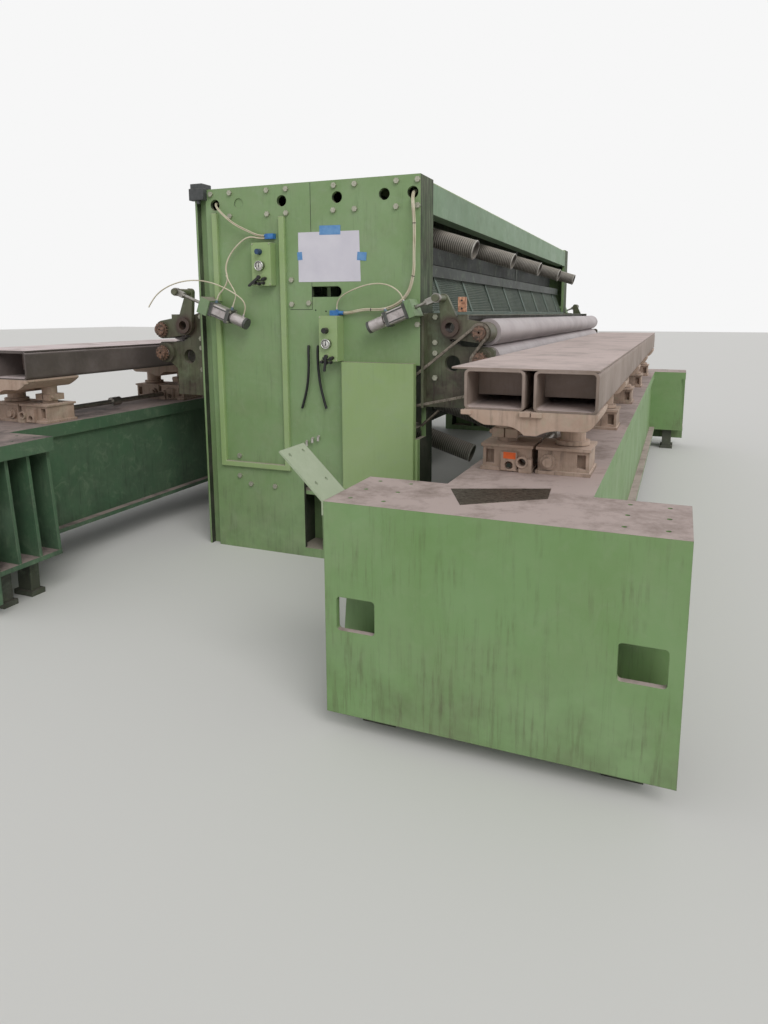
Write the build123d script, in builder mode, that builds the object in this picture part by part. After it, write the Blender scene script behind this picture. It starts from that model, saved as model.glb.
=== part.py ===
from build123d import *
from math import cos, pi, radians, sin, tan
import os

os.makedirs("parts", exist_ok=True)

# Needle punching machine, millimetres. X is the way the web runs, Y the working width, Z up.
# The tower carries the needle beam; a bed with a lifting beam stands on each side of it.

# Tower
tower_half = 785
tower_height = 2387
frame_near = -1990
frame_depth = 220
working_span = 5100
frame_plate = 25
frame_wall = 30
inner_near = frame_near + frame_depth
inner_far = inner_near + working_span
frame_far = inner_far + frame_depth
mid_y = (inner_near + inner_far) / 2
web_height = 1407
fit = 0.05
gap = 0.3

# Needle zone
station_pitch = 1100
station_count = 5
crossbeam_half = 330
crossbeam_bottom = 2080
cover_bottom = 2364
cover_sheet = 6
housing_half = 210
housing_length = 300
housing_height = 290
shaft_radius = 30
shaft_height = 1940
rod_radius = 25
rod_offset = 130
needle_stroke = 60
table_half = 290
table_bottom = 700
table_wall = 16
plate_thickness = 8
board_height = 30
beam_height = 100

# Feed rollers and their swing arms
roller_radius = 80
roller_x = 1140
upper_roller_z = 1487
lower_roller_z = upper_roller_z - 2 * roller_radius - 0.5
journal_radius = 30
hub_x = 958
hub_z = 1515
hub_bore = 30
pivot_radius = 46
bracket_face = frame_near + 90
bracket_thickness = 40
arm_thickness = 30
arm_gap = 15
chain_pitch = 19.05
sprocket_teeth = 16
sprocket_width = 11
hub_radius = 38

# Air cylinders that press the upper rollers down, one set for each side
outfeed_side = 1
infeed_side = -1
cylinders = {
    outfeed_side: {"pin": (912, 1684), "slope": 22, "reach": 177},
    infeed_side: {"pin": (905, 1738), "slope": 21, "reach": 304},
}
pin_radius = 12
cylinder_y = frame_near - 82
cylinder_size = 88
cylinder_length = 153
cylinder_tail = 125
cylinder_rod = 10
eye_half = 14
eye_radius = 27
eye_play = 3
box_reach = {outfeed_side: 40, infeed_side: 75}
port_radius = 8
port_rise = 22
duct_depth = 24
left_duct = (-648, -608)
right_duct = (-152, -112)

# Beds and lifting beams
bed_x = 1664
bed_near = -3690
bed_length = 6980
bed_top = 915.5
bed_shift = 240
block_half = 633
block_length = 425
flange_depth = 80
bed_flange_half = 289
bed_wall_half = 265
foot_flange_top = 257
foot_flange_bottom = 230
hole_radius = 9
jack_width = 232
jack_depth = 240
jack_height = 117.5
jack_spacing = 122
column_spacing = 146
column_radius = 45
lift_beam_inset = 590
lift_beam_length = 5730
lift_beam_bottom = 1203
lift_beam_top = 1370
box_width = 256
box_wall = 12
jack_stations = 5

mid_plane = Plane.XZ.offset(-mid_y)
stations = [mid_y + station_pitch * (k - (station_count - 1) / 2) for k in range(station_count)]


def across(y, x=0, z=0):
    """Plane with X to the right and Z up, facing the near side."""
    return Plane(origin=(x, y, z), x_dir=(1, 0, 0), z_dir=(0, -1, 0))


def block(x0, x1, y0, y1, z0, z1, mode=Mode.ADD):
    """Box between two corners."""
    with Locations(((x0 + x1) / 2, (y0 + y1) / 2, (z0 + z1) / 2)):
        Box(x1 - x0, y1 - y0, z1 - z0, mode=mode)


def bar(start, end, radius, mode=Mode.ADD):
    """Round bar from one point to another."""
    axis = Vector(*end) - Vector(*start)
    with BuildSketch(Plane(origin=start, z_dir=axis)) as profile:
        Circle(radius)
    extrude(profile.sketch, amount=axis.length, mode=mode)


def disc(x, z, y0, y1, radius, mode=Mode.ADD):
    """Round disc or bore whose axis lies along the working width."""
    bar((x, y0, z), (x, y1, z), radius, mode)


def keep(piece, name):
    """Label a finished piece and write its file."""
    piece.part.label = name
    export_step(piece.part, f"parts/{name}.step")


def copied(piece, plane=None, shift=(0, 0, 0)):
    """Copy of a piece, mirrored in a plane and then shifted."""
    with BuildPart() as twin:
        source = piece.part.mirror(plane) if plane else piece.part
        add(source.moved(Location(shift)))
    return twin


# End frames: ribbed plates, open towards the inside, with cable holes near the top
hole_row_z = 2287
cable_holes = [-630, -135, 249, 558, 737]
capped_hole = -450
lead_holes = (39, 105)
lead_radius = 8
lead_top = 1398
chain_notch = (846, 1290)
chain_opening = (560, 750, 1000, 1200)
cell_columns = [(-690, -408), (-382, -88), (-62, 112), (138, 408), (434, tower_half - frame_wall)]
cell_rows = [(60, 420), (445, 880), (905, 1300), (1325, 1660), (1685, 2120), (2145, 2340)]

with BuildPart() as near_end_frame:
    block(-tower_half, tower_half, frame_near, inner_near, 0, tower_height)
    for left, right in cell_columns:
        for low, high in cell_rows:
            behind_window = left < 0 < right and low < 630
            back = inner_near - 12 if behind_window else inner_near
            block(left, right, frame_near + frame_plate, back, low, high, Mode.SUBTRACT)
    block(-770, -702, frame_near, frame_near + 40, 0, tower_height, Mode.SUBTRACT)
    with BuildSketch(across(frame_near)):
        with Locations([(x, hole_row_z) for x in cable_holes]):
            Circle(34)
        with Locations((169, 1730)):
            RectangleRounded(204, 64, 30)
        with Locations((110, 1730)):
            Rectangle(86, 64)
    extrude(amount=-frame_plate - 90, mode=Mode.SUBTRACT)
    disc(capped_hole, hole_row_z, frame_near, frame_near + 6, 32, Mode.SUBTRACT)
    block(-22, 108, frame_near, frame_near + frame_plate, 60, 630, Mode.SUBTRACT)
    block(750, tower_half, frame_near, frame_near + 110, *chain_notch, Mode.SUBTRACT)
    block(*chain_opening[:2], frame_near, frame_near + frame_plate, *chain_opening[2:], Mode.SUBTRACT)
keep(near_end_frame, "near_end_frame")
keep(copied(near_end_frame, mid_plane), "far_end_frame")

# Hexagon bolts on both end frames and on the roller brackets
bolt_flats = 30
bolt_head = 13
top_bolts = [-658, -513, -238, -100, 231, 369, 637, 768]
row_bolts = [-516, -238, -101, 226, 368, 635, 768]
seam_bolts = [(-74, 1805), (-75, 1655), (47, 1662), (-510, 649), (-513, 511), (-426, 460), (-238, 460),
              (770, 1533)]

with BuildPart() as frame_bolts:
    with BuildSketch(across(frame_near)):
        with Locations([(x, 2355) for x in top_bolts] + [(x, 2212) for x in row_bolts]):
            RegularPolygon(bolt_flats / 2, 6, major_radius=False)
    extrude(amount=bolt_head)
    mirror(about=mid_plane)
    with BuildSketch(across(frame_near)):
        with Locations(seam_bolts):
            RegularPolygon(bolt_flats / 2, 6, major_radius=False)
    extrude(amount=bolt_head)
    for side in (-1, 1):
        with BuildSketch(across(bracket_face)):
            with Locations([(side * 850, z) for z in (1576, 1426, 1362, 1213)]):
                RegularPolygon(bolt_flats / 2, 6, major_radius=False)
        extrude(amount=bolt_head)
keep(frame_bolts, "frame_bolts")

# Upper crossbeam with the needle drive housings below it
with BuildPart() as upper_crossbeam:
    block(-crossbeam_half, crossbeam_half, inner_near, inner_far, crossbeam_bottom, cover_bottom)
    block(-crossbeam_half + 16, crossbeam_half - 16, inner_near, inner_far, crossbeam_bottom + 16,
          cover_bottom - 16, Mode.SUBTRACT)
keep(upper_crossbeam, "upper_crossbeam")

housing_bottom = crossbeam_bottom - housing_height
with BuildPart() as drive_housings:
    for y in stations:
        with BuildSketch(across(y - housing_length / 2)):
            with BuildLine():
                Polyline(
                    (-housing_half, crossbeam_bottom),
                    (-housing_half, shaft_height - 40),
                    (-rod_offset - 50, housing_bottom),
                    (rod_offset + 50, housing_bottom),
                    (housing_half, shaft_height - 40),
                    (housing_half, crossbeam_bottom),
                    close=True,
                )
            make_face()
        extrude(amount=-housing_length)
        disc(0, shaft_height, y - housing_length / 2, y + housing_length / 2, shaft_radius + fit, Mode.SUBTRACT)
        for x in (-rod_offset, rod_offset):
            bar((x, y, housing_bottom), (x, y, housing_bottom - 60), rod_radius + 14)
            bar((x, y, housing_bottom - 60), (x, y, housing_bottom + 220), rod_radius + fit, Mode.SUBTRACT)
keep(drive_housings, "drive_housings")

with BuildPart() as main_shaft:
    disc(0, shaft_height, inner_near + 20, inner_far - 20, shaft_radius)
    for y in stations[:-1]:
        disc(0, shaft_height, y + station_pitch / 2 - 45, y + station_pitch / 2 + 45, shaft_radius + 32)
keep(main_shaft, "main_shaft")

# Needle beam at the bottom of its stroke, with its boards and push rods
stripper_bottom = web_height + 23
bed_plate_top = web_height - 7
board_bottom = stripper_bottom + plate_thickness + 24
beam_bottom = board_bottom + board_height
beam_top = beam_bottom + beam_height
needle_half = 240
end_play = 20

with BuildPart() as needle_beam:
    block(-needle_half, needle_half, inner_near + end_play, inner_far - end_play, beam_bottom, beam_top)
    for side in (-1, 1):
        with Locations((side * needle_half / 2, mid_y, (beam_bottom + beam_top) / 2)):
            Box(needle_half - 18, working_span, beam_height - 24, mode=Mode.SUBTRACT)
keep(needle_beam, "needle_beam")

with BuildPart() as needle_boards:
    for side in (-1, 1):
        with Locations((side * 125, mid_y, board_bottom + board_height / 2)):
            Box(210, working_span - 2 * end_play, board_height)
keep(needle_boards, "needle_boards")

with BuildPart() as push_rods:
    for y in stations:
        for x in (-rod_offset, rod_offset):
            bar((x, y, beam_top), (x, y, housing_bottom + 220 - needle_stroke - 20), rod_radius)
            bar((x, y, beam_top), (x, y, beam_top + 14), rod_radius + 20)
keep(push_rods, "push_rods")

with BuildPart() as stripper_plate:
    block(-table_half, table_half, inner_near, inner_far, stripper_bottom, stripper_bottom + plate_thickness)
    for x0, x1 in ((-table_half, -table_half + 8), (table_half - 8, table_half)):
        block(x0, x1, inner_near, inner_far, stripper_bottom, stripper_bottom + 70)
keep(stripper_plate, "stripper_plate")

with BuildPart() as bed_plate:
    block(-table_half, table_half, inner_near, inner_far, bed_plate_top - plate_thickness, bed_plate_top)
keep(bed_plate, "bed_plate")

# Lower table: a ribbed trough that carries the bed plate and takes the suction hoses
hose_radius = 60
hose_wall = 8
hose_drop = 17
hose_mouth_x = 955
hose_mouth_z = 2000
low_mouth_z = 665
duct_x = 600
collar_length = 80


def hose_point(mouth_z, distance):
    """Point on a hose axis, a distance back from its mouth, in the XZ plane."""
    angle = radians(hose_drop)
    return hose_mouth_x - distance * cos(angle), mouth_z + distance * sin(angle)


def socket(side, y, wall_x, mouth_z):
    """Collar on a duct wall over which a hose is pushed."""
    reach = (hose_mouth_x - wall_x) / cos(radians(hose_drop))
    x0, z0 = hose_point(mouth_z, reach + 20)
    x1, z1 = hose_point(mouth_z, reach - collar_length)
    bar((side * x0, y, z0), (side * x1, y, z1), hose_radius - hose_wall - gap)


def socket_bore(side, y, wall_x, mouth_z):
    """Bore through a collar into its duct."""
    reach = (hose_mouth_x - wall_x) / cos(radians(hose_drop))
    x0, z0 = hose_point(mouth_z, reach + 60)
    x1, z1 = hose_point(mouth_z, reach - collar_length - 5)
    bar((side * x0, y, z0), (side * x1, y, z1), hose_radius - hose_wall - 5, Mode.SUBTRACT)


table_top = bed_plate_top - plate_thickness
table_cells = 8
cell_length = working_span / table_cells

with BuildPart() as lower_table:
    block(-table_half, table_half, inner_near, inner_far, table_bottom, table_top)
    for y in stations:
        for side in (-1, 1):
            socket(side, y, table_half, low_mouth_z)
    for k in range(table_cells):
        y0 = inner_near + k * cell_length
        block(-table_half + table_wall, table_half - table_wall, y0 + table_wall / 2,
              y0 + cell_length - table_wall / 2, table_bottom + 20, table_top, Mode.SUBTRACT)
    for y in stations:
        for side in (-1, 1):
            socket_bore(side, y, table_half, low_mouth_z)
keep(lower_table, "lower_table")

# Extraction ducts along both sides of the crossbeam and the hoses pushed on their collars
duct_inner_x = 400
duct_bottom = 1930
duct_top = 2180
with BuildPart() as extraction_ducts:
    block(duct_inner_x, duct_x, inner_near, inner_far, duct_bottom, duct_top)
    for y in stations:
        socket(1, y, duct_x, hose_mouth_z)
    block(duct_inner_x + 4, duct_x - 4, inner_near, inner_far, duct_bottom + 4, duct_top - 4, Mode.SUBTRACT)
    for y in stations:
        socket_bore(1, y, duct_x, hose_mouth_z)
    mirror(about=Plane.YZ)
keep(extraction_ducts, "extraction_ducts")

with BuildPart() as extraction_hoses:
    for y in stations:
        for wall_x, mouth_z in ((duct_x, hose_mouth_z), (table_half, low_mouth_z)):
            reach = (hose_mouth_x - wall_x) / cos(radians(hose_drop)) - 24
            x0, z0 = hose_point(mouth_z, reach)
            bar((x0, y, z0), (hose_mouth_x, y, mouth_z), hose_radius)
    for y in stations:
        for wall_x, mouth_z in ((duct_x, hose_mouth_z), (table_half, low_mouth_z)):
            reach = (hose_mouth_x - wall_x) / cos(radians(hose_drop)) - 24
            x0, z0 = hose_point(mouth_z, reach + 1)
            x1, z1 = hose_point(mouth_z, -1)
            bar((x0, y, z0), (x1, y, z1), hose_radius - hose_wall, Mode.SUBTRACT)
    mirror(about=Plane.YZ)
keep(extraction_hoses, "extraction_hoses")

# Covers: top sheet with hatches, side fascias, angle rails and corrugated guards
fascia_bottom = 2186
fascia_sheet = 6
with BuildPart() as top_cover:
    block(-tower_half, tower_half, inner_near, inner_far, cover_bottom, cover_bottom + cover_sheet)
    for y in stations:
        with Locations((0, y, cover_bottom + cover_sheet + 5)):
            Box(560, 420, 10)
keep(top_cover, "top_cover")

with BuildPart() as fascias:
    block(tower_half - fascia_sheet, tower_half, inner_near, inner_far, fascia_bottom, cover_bottom)
    block(tower_half - 60, tower_half, inner_near, inner_far, cover_bottom - fascia_sheet, cover_bottom)
    block(tower_half - 95, tower_half, inner_near, inner_far, fascia_bottom, fascia_bottom + fascia_sheet)
    mirror(about=Plane.YZ)
keep(fascias, "fascias")

rail_x = 706
rail_bottom = 1830
rail_top = 1905
with BuildPart() as hood_rails:
    block(rail_x - 6, rail_x, inner_near, inner_far, rail_bottom, rail_top)
    block(rail_x - 56, rail_x, inner_near, inner_far, rail_top - 6, rail_top)
    block(rail_x - 12, rail_x - 6, mid_y + 130, mid_y + 170, rail_bottom, fascia_bottom)
    mirror(about=Plane.YZ)
keep(hood_rails, "hood_rails")

guard_top = (662, 1862)
guard_bottom = (764, 1590)
ridge_count = 21
ridge_depth = 7
guard_sheet = 2
strap_count = 8
strap_width = 36
strap_thickness = 6
with BuildPart() as guards:
    run = Vector(guard_bottom[0] - guard_top[0], guard_bottom[1] - guard_top[1])
    outward = Vector(-run.Y, run.X).normalized()
    ridge = []
    for k in range(2 * ridge_count + 1):
        along = Vector(*guard_top) + run * (k / (2 * ridge_count))
        ridge.append(along + outward * (ridge_depth if k % 2 else 0))
    back = [point - outward * guard_sheet for point in reversed(ridge)]
    with BuildSketch(across(inner_near)):
        with BuildLine():
            Polyline(*[(p.X, p.Y) for p in ridge + back], close=True)
        make_face()
    extrude(amount=-working_span)
    strap = [Vector(*corner) + outward * (ridge_depth - 1) for corner in (guard_top, guard_bottom)]
    strap += [point + outward * strap_thickness for point in reversed(strap)]
    for k in range(strap_count):
        with BuildSketch(across(inner_near + working_span * (k + 0.5) / strap_count - strap_width / 2)):
            with BuildLine():
                Polyline(*[(p.X, p.Y) for p in strap], close=True)
            make_face()
        extrude(amount=-strap_width)
    block(guard_bottom[0] - 4, guard_bottom[0] + 30, inner_near, inner_far, 1584, 1590)
    block(guard_bottom[0] + 24, guard_bottom[0] + 30, inner_near, inner_far, 1590, 1612)
    mirror(about=Plane.YZ)
keep(guards, "guards")

# Roller brackets: a plate on a side flange, a fixed pivot tube and a bearing boss
bracket_back = bracket_face + bracket_thickness
arm_back = bracket_face - arm_gap
arm_face = arm_back - arm_thickness
with BuildPart() as roller_brackets:
    block(tower_half, tower_half + 16, frame_near + 15, inner_near - 10, 1034, 1600)
    with BuildSketch(across(bracket_face)):
        with BuildLine():
            Polyline(
                (tower_half, 1034),
                (1065, 1034),
                (1065, 1215),
                (1120, 1256),
                (1180, 1262),
                (1212, 1300),
                (1212, 1384),
                (1196, 1400),
                (1010, 1404),
                (940, 1440),
                (1000, 1475),
                (1015, 1515),
                (1006, 1545),
                (985, 1564),
                (940, 1578),
                (870, 1600),
                (tower_half, 1600),
                close=True,
            )
        make_face()
        with Locations((hub_x, 1302)):
            Circle(48, mode=Mode.SUBTRACT)
    extrude(amount=-bracket_thickness)
    disc(roller_x, lower_roller_z, bracket_face - 30, bracket_face, 68)
    disc(hub_x, hub_z, arm_back + gap, bracket_face, pivot_radius + 12)
    disc(hub_x, hub_z, arm_face - 18, bracket_face, pivot_radius)
    disc(hub_x, hub_z, arm_face - 18, arm_face - gap, pivot_radius + 8)
    disc(hub_x, hub_z, arm_face - 20, bracket_back + 1, hub_bore, Mode.SUBTRACT)
    disc(roller_x, lower_roller_z, bracket_face - 31, bracket_back + 1, journal_radius + fit, Mode.SUBTRACT)
    mirror(about=mid_plane)
    mirror(about=Plane.YZ)
keep(roller_brackets, "roller_brackets")

# Swing arms: one near, one far, joined by an angle bar over the upper roller
bar_z = 1591


def swing_arms(side):
    """Arms of one side, drawn on the outfeed side and mirrored where needed."""
    pin_x, pin_z = cylinders[side]["pin"]
    with BuildPart() as arms:
        with BuildSketch(across(arm_back)):
            with BuildSketch(mode=Mode.ADD):
                with Locations((hub_x, hub_z)):
                    Circle(64)
                with Locations((roller_x, upper_roller_z)):
                    Circle(62)
                make_hull()
            with BuildSketch(mode=Mode.ADD):
                with Locations((hub_x, hub_z)):
                    Circle(60)
                with Locations((pin_x, pin_z)):
                    Circle(27)
                make_hull()
            with Locations((1030, bar_z - 31)):
                Rectangle(60, 62)
        extrude(amount=arm_thickness)
        disc(roller_x, upper_roller_z, arm_back, inner_near - 24, 62)
        disc(pin_x, pin_z, cylinder_y - eye_half - 2, arm_face, pin_radius)
        disc(pin_x, pin_z, cylinder_y - eye_half - 16, cylinder_y - eye_half - 2, pin_radius + 9)
        disc(pin_x, pin_z, cylinder_y + eye_half + 2, arm_face, pin_radius + 9)
        disc(hub_x, hub_z, arm_face, arm_back, pivot_radius + fit, Mode.SUBTRACT)
        disc(roller_x, upper_roller_z, arm_face, inner_near - 24, journal_radius + fit, Mode.SUBTRACT)
        mirror(about=mid_plane)
        block(1000, 1060, arm_back, 2 * mid_y - arm_back, bar_z - 6, bar_z)
        block(1000, 1006, arm_back, 2 * mid_y - arm_back, bar_z - 32, bar_z)
    return arms


keep(swing_arms(outfeed_side), "outfeed_arms")
keep(copied(swing_arms(infeed_side), Plane.YZ), "infeed_arms")


sprocket_pitch_radius = chain_pitch / 2 / sin(radians(180 / sprocket_teeth))
sprocket_root = sprocket_pitch_radius - 6
sprocket_tip = sprocket_pitch_radius + 4.5
sprocket_face = arm_face - 23
roller_end = sprocket_face - 18


def tooth(angle):
    """One straight-sided sprocket tooth on the sketch."""
    outline = [(sprocket_root - 1, -5.4), (sprocket_tip, -1.8), (sprocket_tip, 1.8), (sprocket_root - 1, 5.4)]
    turned = [Vector(*p).rotate(Axis.Z, angle) for p in outline]
    Polygon(*[(p.X, p.Y) for p in turned], align=None)


def feed_roller(z):
    """Hollow feed roller with journals and a chain sprocket on its near end."""
    with BuildPart() as roller:
        disc(roller_x, z, inner_near, inner_far, roller_radius)
        disc(roller_x, z, sprocket_face, 2 * mid_y - arm_face + 6, journal_radius)
        disc(roller_x, z, roller_end, sprocket_face, hub_radius)
        disc(roller_x, z, sprocket_face + sprocket_width, arm_face - 3, hub_radius + 2)
        with BuildSketch(across(roller_end, roller_x, z)):
            with PolarLocations(hub_radius - 10, 6):
                RegularPolygon(6, 6)
        extrude(amount=5)
        with BuildSketch(across(sprocket_face, roller_x, z)):
            Circle(sprocket_root)
            for k in range(sprocket_teeth):
                tooth(k * 360 / sprocket_teeth)
        extrude(amount=-sprocket_width)
        disc(roller_x, z, inner_near + 20, inner_far - 20, roller_radius - 9, Mode.SUBTRACT)
        disc(roller_x, z, roller_end, roller_end + 30, 7, Mode.SUBTRACT)
    return roller


outfeed_upper_roller = feed_roller(upper_roller_z)
outfeed_lower_roller = feed_roller(lower_roller_z)
keep(outfeed_upper_roller, "outfeed_upper_roller")
keep(outfeed_lower_roller, "outfeed_lower_roller")
keep(copied(outfeed_upper_roller, Plane.YZ), "infeed_upper_roller")
keep(copied(outfeed_lower_roller, Plane.YZ), "infeed_lower_roller")

# Air cylinders on the outer faces of the frames, their brackets and rods
def axis_point(side, distance, lift=0):
    """Point a distance down a cylinder's axis from its pin, and a height square to it."""
    pin_x, pin_z = cylinders[side]["pin"]
    slope = radians(cylinders[side]["slope"])
    x = pin_x - distance * cos(slope) - lift * sin(slope)
    z = pin_z - distance * sin(slope) + lift * cos(slope)
    return side * x, z


def axis_plane(side, distance):
    """Plane square to a cylinder's axis, looking back from its pin."""
    x, z = axis_point(side, distance)
    slope = radians(cylinders[side]["slope"])
    return Plane(origin=(x, cylinder_y, z), x_dir=(0, 1, 0), z_dir=(-side * cos(slope), 0, -sin(slope)))


port_top = cylinder_size / 2 + port_rise
front_port = 14
rear_port = cylinder_length - 12
rod_in_barrel = 50
rod_travel = 48
tail_port = 235
tail_port_rise = 50
with BuildPart() as air_cylinders:
    for side in cylinders:
        reach = cylinders[side]["reach"]
        with BuildSketch(axis_plane(side, reach)):
            RectangleRounded(cylinder_size - 8, cylinder_size - 8, 10)
        extrude(amount=cylinder_length)
        for start in (0, cylinder_length - 24):
            with BuildSketch(axis_plane(side, reach + start)):
                RectangleRounded(cylinder_size, cylinder_size, 5)
            extrude(amount=24)
        with BuildSketch(axis_plane(side, reach + cylinder_length)):
            Circle(24)
        extrude(amount=14)
        with BuildSketch(axis_plane(side, reach + cylinder_length + 14)):
            Circle(35)
        extrude(amount=cylinder_tail - 14)
        with BuildSketch(axis_plane(side, reach + cylinder_length + cylinder_tail - 30)):
            Circle(30)
        extrude(amount=30, mode=Mode.SUBTRACT)
        for distance in (front_port, rear_port):
            foot = axis_point(side, reach + distance, cylinder_size / 2 - 2)
            top = axis_point(side, reach + distance, port_top)
            bar((foot[0], cylinder_y, foot[1]), (top[0], cylinder_y, top[1]), port_radius)
        with BuildSketch(axis_plane(side, reach)):
            Circle(cylinder_rod + fit)
        extrude(amount=rod_in_barrel + rod_travel + 5, mode=Mode.SUBTRACT)
    mirror(about=mid_plane)
    reach = cylinders[infeed_side]["reach"] + tail_port
    foot = axis_point(infeed_side, reach, 32)
    top = axis_point(infeed_side, reach, tail_port_rise)
    bar((foot[0], cylinder_y, foot[1]), (top[0], cylinder_y, top[1]), port_radius - 2)
keep(air_cylinders, "air_cylinders")

mount_plate = 12
bracket_sheet = 8
bracket_front = cylinder_y - cylinder_size / 2 - 10
with BuildPart() as cylinder_brackets:
    for side in cylinders:
        reach = cylinders[side]["reach"]
        outer = reach - box_reach[side]
        half = cylinder_size / 2 + bracket_sheet
        with BuildSketch(across(frame_near)):
            with BuildLine():
                Polyline(
                    axis_point(side, outer, half),
                    axis_point(side, reach, half),
                    axis_point(side, reach, -half),
                    axis_point(side, outer, -half),
                    close=True,
                )
            make_face()
        extrude(amount=frame_near - bracket_front)
        with BuildSketch(across(frame_near - mount_plate)):
            with BuildLine():
                Polyline(
                    axis_point(side, outer + bracket_sheet, cylinder_size / 2),
                    axis_point(side, reach - mount_plate, cylinder_size / 2),
                    axis_point(side, reach - mount_plate, -cylinder_size / 2),
                    axis_point(side, outer + bracket_sheet, -cylinder_size / 2),
                    close=True,
                )
            make_face()
        extrude(amount=frame_near - mount_plate - bracket_front - bracket_sheet, mode=Mode.SUBTRACT)
        with BuildSketch(axis_plane(side, reach)):
            Circle(cylinder_rod + 4)
        extrude(amount=-box_reach[side] - 1, mode=Mode.SUBTRACT)
    block(left_duct[0] - 3, left_duct[1] + 3, frame_near - duct_depth - gap, frame_near, 1400, 1900,
          Mode.SUBTRACT)
    mirror(about=mid_plane)
keep(cylinder_brackets, "cylinder_brackets")


def cylinder_rods(side):
    """Piston rods, near and far, each with an eye round the arm's pin."""
    pin_x, pin_z = cylinders[side]["pin"]
    with BuildPart() as rods:
        with BuildSketch(axis_plane(side, 20)):
            Circle(cylinder_rod)
        extrude(amount=cylinders[side]["reach"] - 20 + rod_in_barrel)
        with BuildSketch(axis_plane(side, 20)):
            RectangleRounded(2 * eye_half, 38, 4)
        extrude(amount=44)
        with BuildSketch(axis_plane(side, 64)):
            RegularPolygon(15, 6)
        extrude(amount=12)
        disc(side * pin_x, pin_z, cylinder_y - eye_half, cylinder_y + eye_half, eye_radius)
        disc(side * pin_x, pin_z, cylinder_y - eye_half, cylinder_y + eye_half, pin_radius + eye_play,
             Mode.SUBTRACT)
        mirror(about=mid_plane)
    return rods


keep(cylinder_rods(outfeed_side), "outfeed_rods")
keep(cylinder_rods(infeed_side), "infeed_rods")

# Air controls on the near frame: a box with a regulator knob, a gauge and a valve lever for each side
controls = {
    "outfeed": {"centre": (219, 1445), "size": (126, 278), "depth": 88, "knob": (206, 1494),
                "gauge": (213, 1414), "lever": (214, 1338), "turn": 262},
    "infeed": {"centre": (-258, 1902), "size": (140, 266), "depth": 60, "knob": (-267, 1978),
               "gauge": (-262, 1892), "lever": (-266, 1822), "turn": 216},
}

with BuildPart() as control_boxes:
    for control in controls.values():
        face = frame_near - control["depth"]
        with BuildSketch(across(frame_near)):
            with Locations(control["centre"]):
                RectangleRounded(*control["size"], 5)
        extrude(amount=control["depth"])
        disc(*control["knob"], face + 20, face, 5 + fit, Mode.SUBTRACT)
        disc(*control["lever"], face, face - 16, 17)
        disc(*control["lever"], face + 8, face - 16, 6 + fit, Mode.SUBTRACT)
keep(control_boxes, "control_boxes")

with BuildPart() as pressure_gauges:
    for control in controls.values():
        face = frame_near - control["depth"]
        disc(*control["gauge"], face, face - 26, 29)
        disc(*control["gauge"], face - 21, face - 26, 26, Mode.SUBTRACT)
        disc(*control["gauge"], face - 12, face - 26, 1.5 + fit, Mode.SUBTRACT)
keep(pressure_gauges, "pressure_gauges")

for name, control in controls.items():
    face = frame_near - control["depth"]
    with BuildPart() as knob:
        disc(*control["knob"], face + 15, face - gap, 5)
        with BuildSketch(across(face - gap)):
            with Locations(control["knob"]):
                Circle(19)
                with PolarLocations(20, 10):
                    Circle(2.4, mode=Mode.SUBTRACT)
        extrude(amount=34, taper=3)
    keep(knob, f"{name}_knob")
    with BuildPart() as pointer:
        disc(*control["gauge"], face - 14, face - 23.5, 1.5)
        disc(*control["gauge"], face - 21.5, face - 23.5, 4)
        with BuildSketch(across(face - 22, *control["gauge"])):
            with BuildLine():
                Polyline((-3, -10), (3, -10), (1, 22), (-1, 22), close=True)
            make_face()
        extrude(amount=1.2)
    keep(pointer, f"{name}_gauge_pointer")
    with BuildPart() as lever:
        disc(*control["lever"], face + 6, face - 17, 6)
        disc(*control["lever"], face - 16 - gap, face - 28, 12)
        with BuildSketch(across(face - 18, *control["lever"])):
            with Locations(Rotation(0, 0, control["turn"])):
                with Locations((44, 0)):
                    SlotOverall(100, 15)
        extrude(amount=9)
    keep(lever, f"{name}_valve_lever")

# Fitting blocks beside the controls, with a stub for each tube
manifold_half = 28
manifold_height = 32
manifolds = {"infeed": (-210, 2058), "outfeed": (232, 1584 + gap)}
manifold_depth = 34
stub_y = frame_near - manifold_depth / 2
bundle_radius = 8
supply_radius = 10
tube_radius = 4
infeed_stubs = (2080, 2064)
infeed_stub_end = -252
outfeed_stub = 1600
outfeed_stub_end = 290
outfeed_port_stub = (246, 1622)

with BuildPart() as air_manifolds:
    for x, low in manifolds.values():
        block(x - manifold_half, x + manifold_half, frame_near - manifold_depth, frame_near,
              low, low + manifold_height)
    x, low = manifolds["infeed"]
    bar((x, stub_y, infeed_stubs[0]), (infeed_stub_end, stub_y, infeed_stubs[0]), bundle_radius + 1)
    bar((x, stub_y, infeed_stubs[1]), (infeed_stub_end, stub_y, infeed_stubs[1]), tube_radius + 2)
    x, low = manifolds["outfeed"]
    bar((x, stub_y, outfeed_stub), (outfeed_stub_end, stub_y, outfeed_stub), supply_radius + 2)
    stub_x, stub_top = outfeed_port_stub
    bar((stub_x, stub_y, outfeed_stub), (stub_x, stub_y, stub_top), tube_radius + 3)
keep(air_manifolds, "air_manifolds")


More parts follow.
